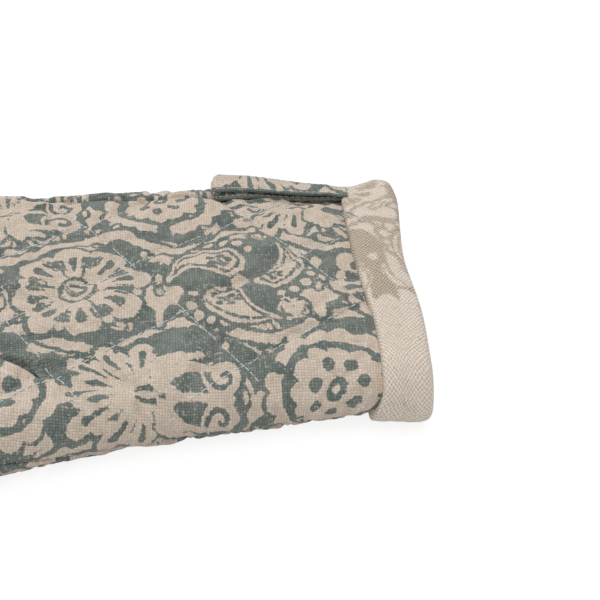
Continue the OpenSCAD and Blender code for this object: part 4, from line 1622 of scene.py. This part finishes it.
def flat_place(tree):
    """The piece's own flat place on the cloth, in millimetres."""
    return add_node(tree, "ShaderNodeUVMap", uv_map="cloth").outputs[0]


def woven(tree, pitch):
    """The flat place, and what the weave group gives there for threads of that pitch."""
    place = flat_place(tree)
    inputs = (("Place", place), ("Pitch", pitch))
    return place, add_node(tree, "ShaderNodeGroup", inputs, node_tree=weave).outputs


def finish(tree, shader, base, height, depth):
    """Gives the shader its colour, and raises the surface by height times depth, in millimetres,
    in the shading only."""
    inputs = (("Height", height), ("Distance", depth * MM), ("Strength", 1.0))
    bump = add_node(tree, "ShaderNodeBump", inputs)
    tree.links.new(base, shader.inputs["Base Color"])
    tree.links.new(bump.outputs[0], shader.inputs["Normal"])


print(f"cloth shines at a level of {cloth_shine}, half the usual")

# %% Bare linen
LINEN = colour(219, 203, 186)
LINEN_PALE = colour(236, 223, 208)
LINEN_DEEP = colour(188, 168, 148)
# painted shade: the colour of the deep gaps between the threads
LINEN_GAP_SHADE = colour(128, 110, 94)
WASHED = colour(247, 236, 222)
RUST = colour(205, 132, 84)


def thread_gap_shade(tree, cloth):
    """How much painted shade a place gets for lying deep between the threads: 0 on top of them, 1 in the
    corners between.
    """
    low = calc(tree, "MULTIPLY", calc(tree, "SUBTRACT", 1, step_up(tree, cloth["Height"], 0.1, 0.95)), 0.6)
    return calc(tree, "MULTIPLY_ADD", step_up(tree, cloth["Gap"], 0.2, 0.8), 0.4, low)


def linen_colour(tree, place, cloth, gap_shade_share, washed):
    """Unprinted cloth: pale and deep threads, slow patches and a few rust fibres, and painted shade
    that darkens the gaps between the threads by a given share. Washed is how far the threads have paled."""
    tone = calc(tree, "MULTIPLY_ADD", calc(tree, "SUBTRACT", cloth["Tone"], 0.5), 1.5, 0.5)
    base = mix_colour(tree, 0.55, mix_colour(tree, tone, LINEN_DEEP, LINEN_PALE), LINEN)
    patch = step_up(tree, noise(tree, place, 0.05, 3), 0.3, 0.75)
    for share, over in ((calc(tree, "MULTIPLY", patch, 0.25), LINEN_PALE), (washed, WASHED),
                        (calc(tree, "MULTIPLY", cloth["Fleck"], 0.8), RUST),
                        # painted shade darkens the gaps between the threads
                        (calc(tree, "MULTIPLY", thread_gap_shade(tree, cloth), gap_shade_share), LINEN_GAP_SHADE)):
        base = mix_colour(tree, share, base, over)
    return base


def print_distance(tree):
    """How far inside the bare shapes of the print a place lies, in millimetres."""
    return add_node(tree, "ShaderNodeAttribute", attribute_name="print").outputs["Fac"]


print("bare linen gives back this share of red, green and blue light:", np.round(LINEN[:3], 2))

# %% Printed cover
SLATE = colour(101, 112, 107)
SLATE_PALE = colour(136, 142, 135)
# painted shade: a darker slate for pigment that lies deep between the threads
SLATE_GAP_SHADE = colour(62, 72, 70)
cover_pitch, cover_emboss = 1.05, 0.28


def printed_material():
    """The cover: bare linen where the print's distance is above zero, and slate pigment elsewhere.
    The pigment sits on the threads' tops, misses some of them, and its edge steps from thread to
    thread. Both linen and pigment are darkened in the gaps between the threads, as painted shade."""
    material, tree, shader = start_material("printed_cotton_linen", 0.92, 0.08)
    place, cloth = woven(tree, cover_pitch)
    tone = cloth["Tone"]
    ragged = swayed(tree, print_distance(tree), noise(tree, place, 0.8, 2), 0.8)
    ragged = swayed(tree, ragged, tone, 0.7)
    pigment = calc(tree, "SUBTRACT", 1, step_up(tree, ragged, -0.22, 0.22))
    dry = calc(tree, "MULTIPLY_ADD", step_up(tree, noise(tree, place, 0.035, 2), 0.42, 0.68), 0.25, 0.05)
    missed = calc(tree, "MULTIPLY", step_up(tree, tone, 0.58, 0.8), dry)
    ink = mix_colour(tree, step_up(tree, noise(tree, place, 0.09, 4), 0.3, 0.75), SLATE, SLATE_PALE)
    ink = mix_colour(tree, step_up(tree, tone, 0.35, 0.8), ink, SLATE_PALE)
    # painted shade: the ink darkens where it lies deep between the threads
    ink = mix_colour(tree, calc(tree, "MULTIPLY", thread_gap_shade(tree, cloth), 0.9), ink, SLATE_GAP_SHADE)
    bare = linen_colour(tree, place, cloth, 0.5, 0.0)
    share = calc(tree, "MULTIPLY", pigment, calc(tree, "SUBTRACT", 1, missed))
    finish(tree, shader, mix_colour(tree, share, bare, ink), cloth["Height"], cover_emboss)
    return material


print(f"the cover has a thread every {cover_pitch} mm")

# %% Band and lining
# the second ghost colour is painted shade for the gaps between the threads
GHOST, GHOST_GAP_SHADE = colour(203, 187, 167), colour(84, 76, 67)
# the third cotton colour is painted shade for the gaps between the threads
COTTON_DEEP, COTTON_PALE, COTTON_GAP_SHADE = colour(206, 194, 172), colour(232, 223, 205), colour(158, 144, 122)
band_pitch, band_emboss = 1.3, 0.34
lining_pitch, lining_emboss = 0.62, 0.15


def band_material():
    """The wrong side of the same cloth: the print shows through only as a faint taupe ghost, and
    the gaps between the threads are open and painted in shade."""
    material, tree, shader = start_material("reverse_of_cloth", 0.93, 0.08)
    place, cloth = woven(tree, band_pitch)
    ragged = swayed(tree, print_distance(tree), cloth["Tone"], 1.6)
    ghost = calc(tree, "SUBTRACT", 1, step_up(tree, ragged, -0.9, 0.9))
    # painted shade in the gaps between threads, on the linen and on the ghost
    bare = linen_colour(tree, place, cloth, 0.7, 0.6)
    faded = mix_colour(tree, thread_gap_shade(tree, cloth), GHOST, GHOST_GAP_SHADE)
    base = mix_colour(tree, calc(tree, "MULTIPLY", ghost, 0.95), bare, faded)
    finish(tree, shader, base, cloth["Height"], band_emboss)
    return material


def lining_material():
    """Plain undyed cotton of a finer weave, with painted shade in the gaps between its threads."""
    material, tree, shader = start_material("undyed_cotton", 0.9, 0.08)
    _, cloth = woven(tree, lining_pitch)
    tone = mix_colour(tree, cloth["Tone"], COTTON_DEEP, COTTON_PALE)
    # painted shade in the gaps between the threads
    gap = calc(tree, "MULTIPLY", step_up(tree, cloth["Gap"], 0.1, 0.7), 0.5)
    finish(tree, shader, mix_colour(tree, gap, tone, COTTON_GAP_SHADE), cloth["Height"], lining_emboss)
    return material


print(f"a thread every {band_pitch} mm in the band and every {lining_pitch} mm in the lining")

# %% Wadding and thread
FIBRE_DEEP, FIBRE_PALE = colour(214, 210, 200), colour(246, 244, 238)
# the first thread colour is painted shade for the grooves between the plies
THREAD_GROOVE_SHADE, THREAD_PALE = colour(176, 186, 187), colour(236, 240, 238)
fibre_emboss, ply_emboss = 0.6, 0.08
ply_slant = 2.2


def wadding_material():
    """Matted white fibres."""
    material, tree, shader = start_material("cotton_wadding", 0.97)
    fibres = noise(tree, flat_place(tree), 0.9, 8, 0.7)
    finish(tree, shader, mix_colour(tree, fibres, FIBRE_DEEP, FIBRE_PALE), fibres, fibre_emboss)
    return material


def thread_material():
    """Pale twisted sewing thread. Its UV place runs along and round each stitch, so slanting lines
    across it are the plies, and the grooves between the plies are painted in shade."""
    material, tree, shader = start_material("sewing_thread", 0.6, 0.1)
    split = add_node(tree, "ShaderNodeSeparateXYZ", ((0, flat_place(tree)),)).outputs
    slant = calc(tree, "MULTIPLY_ADD", split[0], ply_slant, split[1])
    ply = calc(tree, "ABSOLUTE", sine(tree, slant))
    # painted shade: the thread darkens in the grooves between its plies
    finish(tree, shader, mix_colour(tree, ply, THREAD_GROOVE_SHADE, THREAD_PALE), ply, ply_emboss)
    return material


print(f"the wadding's fibres are shaded as {fibre_emboss} mm high")

# %% Give every piece its material, and the cloth its print
# painted shade: the first two numbers push the print's slate ground into the deep fold by the thumb and
# along the loop's open edge
fold_shade_ground, edge_shade_ground, plain_band = 6, 4.5, 6
strip_cut, band_cut = [70, 14], [60, 10]


def paint(pieces, material):
    """Gives the pieces that material and no other."""
    for piece in pieces:
        piece.data.materials.clear()
        piece.data.materials.append(material)


def cloth_places(piece):
    """Each point's place on the flat cloth, read back from the mesh."""
    uv = np.empty(len(piece.data.loops) * 2, np.float32)
    piece.data.uv_layers["cloth"].uv.foreach_get("vector", uv)
    corner = np.empty(len(piece.data.loops), np.int32)
    piece.data.loops.foreach_get("vertex_index", corner)
    places = np.zeros((len(piece.data.vertices), 2))
    places[corner] = uv.reshape(-1, 2)
    return places


def write_print(piece, distance):
    """Keeps the print's distance at each point, for the materials to read."""
    layer = piece.data.attributes.new("print", "FLOAT", "POINT")
    layer.data.foreach_set("value", np.asarray(distance, np.float32))


def print_cover(piece):
    """Prints a cover. On the palm side alone, the print's slate ground is pushed into the deep fold by the
    thumb as painted shade.
    """
    places = cloth_places(piece)
    distance = block_print(places)
    if piece.name.startswith("palm"):
        off, along, right = segment_distance(places, crease_from, crease_to)
        # painted shade: the dark print ground fills the fold by the thumb
        fold_shade_mask = bell(right + 2, 5.5) * smooth((1 - along) * 2) * smooth((16 - off) / 8)
        distance = distance - fold_shade_ground * fold_shade_mask
    write_print(piece, distance)


printed = printed_material()
for pieces, material in ((covers, printed), ([strip], printed), ([band], band_material()),
                         (linings, lining_material()), (waddings, wadding_material()),
                         (stitching, thread_material())):
    paint(pieces, material)
for piece in covers:
    print_cover(piece)
places = cloth_places(strip)
# painted shade: the dark print ground runs along the strip's open edge, where the two layers meet
open_edge_shade = bell(places[:, 1] - loop_w - strip_t / 2, 1.4)
write_print(strip, block_print(places + strip_cut) - edge_shade_ground * open_edge_shade)
near_end_bare = plain_band * bell(points_of(band)[:, 1] + 62, 30)
write_print(band, block_print(cloth_places(band) + band_cut) + near_end_bare)
print("materials:", ", ".join(m.name for m in bpy.data.materials))

# %% [markdown]
# ## Floor, light and camera
# A plain pale floor and a large soft light show cloth best: the weave and the quilting read from
# the soft shading. The world is white to the camera alone, and the floor keeps the shadow.

# %% Floor
WHITE = (1, 1, 1, 1)
floor_size = 6.0
floor_glow, floor_share = 1.14, 0.75


def make_floor():
    """A wide plain floor just under the mitt."""
    corners = np.array([[-1, -1, 0], [1, -1, 0], [1, 1, 0], [-1, 1, 0]]) * floor_size / 2 / MM
    floor = build_mesh("floor", corners, [np.array([[0, 1, 2, 3]])])
    return floor


def straight_rays(tree):
    """1 for rays that reach the camera straight or by a mirror or glass, and 0 for the rest."""
    seen = add_node(tree, "ShaderNodeLightPath").outputs
    direct = calc(tree, "MAXIMUM", seen["Is Camera Ray"], seen["Is Glossy Ray"])
    return calc(tree, "MAXIMUM", direct, seen["Is Transmission Ray"])


def floor_material():
    """Pale paper that glows a little to the camera alone, so that it looks white and keeps the
    mitt's shadow."""
    material, tree, shader = start_material("studio_floor", 0.95)
    speck = noise(tree, add_node(tree, "ShaderNodeTexCoord").outputs["Object"], 30, 3)
    paper = mix_colour(tree, speck, colour(243, 243, 243), colour(247, 247, 247))
    tree.links.new(paper, shader.inputs["Base Color"])
    share = calc(tree, "MULTIPLY", straight_rays(tree), floor_share)
    glow = add_node(tree, "ShaderNodeEmission", (("Color", WHITE), ("Strength", floor_glow)))
    both = add_node(tree, "ShaderNodeMixShader", enumerate((share, shader.outputs[0], glow.outputs[0])))
    tree.links.new(both.outputs[0], tree.nodes["Material Output"].inputs["Surface"])
    return material


paint([make_floor()], floor_material())
print(f"floor: {floor_size:.0f} m wide")

# %% Camera
aim = Vector((0.1147, 0.0110, 0.0))
azimuth, elevation, roll = math.radians(-4.19), math.radians(38.5), math.radians(-0.33)
distance = 0.5522
plan_x, plan_y = math.sin(azimuth), -math.cos(azimuth)
camera_back = Vector((plan_x * math.cos(elevation), plan_y * math.cos(elevation), math.sin(elevation)))
camera = bpy.data.objects.new("camera", bpy.data.cameras.new("camera"))
bpy.context.scene.collection.objects.link(camera)
camera.data.lens = 75.6
camera.data.sensor_width = 36
camera.location = aim + camera_back * distance
level = (-camera_back).cross(Vector((0, 0, 1))).normalized()
upright = level.cross(-camera_back)
right = level * math.cos(roll) + upright * math.sin(roll)
up = upright * math.cos(roll) - level * math.sin(roll)
camera.rotation_mode = "QUATERNION"
camera.rotation_quaternion = Matrix((right, up, camera_back)).transposed().to_quaternion()
bpy.context.scene.camera = camera
print(f"camera at {tuple(round(c, 3) for c in camera.location)}")

# %% Lights
def area_light(name, place, target, size, power):
    """A square soft light at place that faces target. Power is in watts."""
    lamp = bpy.data.lights.new(name, "AREA")
    lamp.size, lamp.energy = size, power
    holder = bpy.data.objects.new(name, lamp)
    bpy.context.scene.collection.objects.link(holder)
    holder.location = place
    holder.rotation_mode = "QUATERNION"
    holder.rotation_quaternion = (Vector(target) - Vector(place)).to_track_quat("-Z", "Y")


area_light("window", (-0.9, 0.9, 1.5), (0.05, 0, 0), 1.2, 16)
area_light("ceiling", (0.5, -0.4, 1.8), (0.05, 0, 0), 1.6, 12)
print("lights:", ", ".join(light.name for light in bpy.data.lights))


# %% The room's own light
room_strength = 0.45
world = bpy.data.worlds.new("studio")
bpy.context.scene.world = world
world.use_nodes = True
room = world.node_tree
room.nodes.clear()
backgrounds = [add_node(room, "ShaderNodeBackground", (("Color", WHITE), ("Strength", strength))).outputs[0]
               for strength in (room_strength, 1)]
mixed = add_node(room, "ShaderNodeMixShader", enumerate((straight_rays(room), *backgrounds))).outputs[0]
add_node(room, "ShaderNodeOutputWorld", (("Surface", mixed),))
bpy.context.scene.view_settings.view_transform = "Standard"
print(f"the room gives a light of {room_strength}, and the camera sees white")
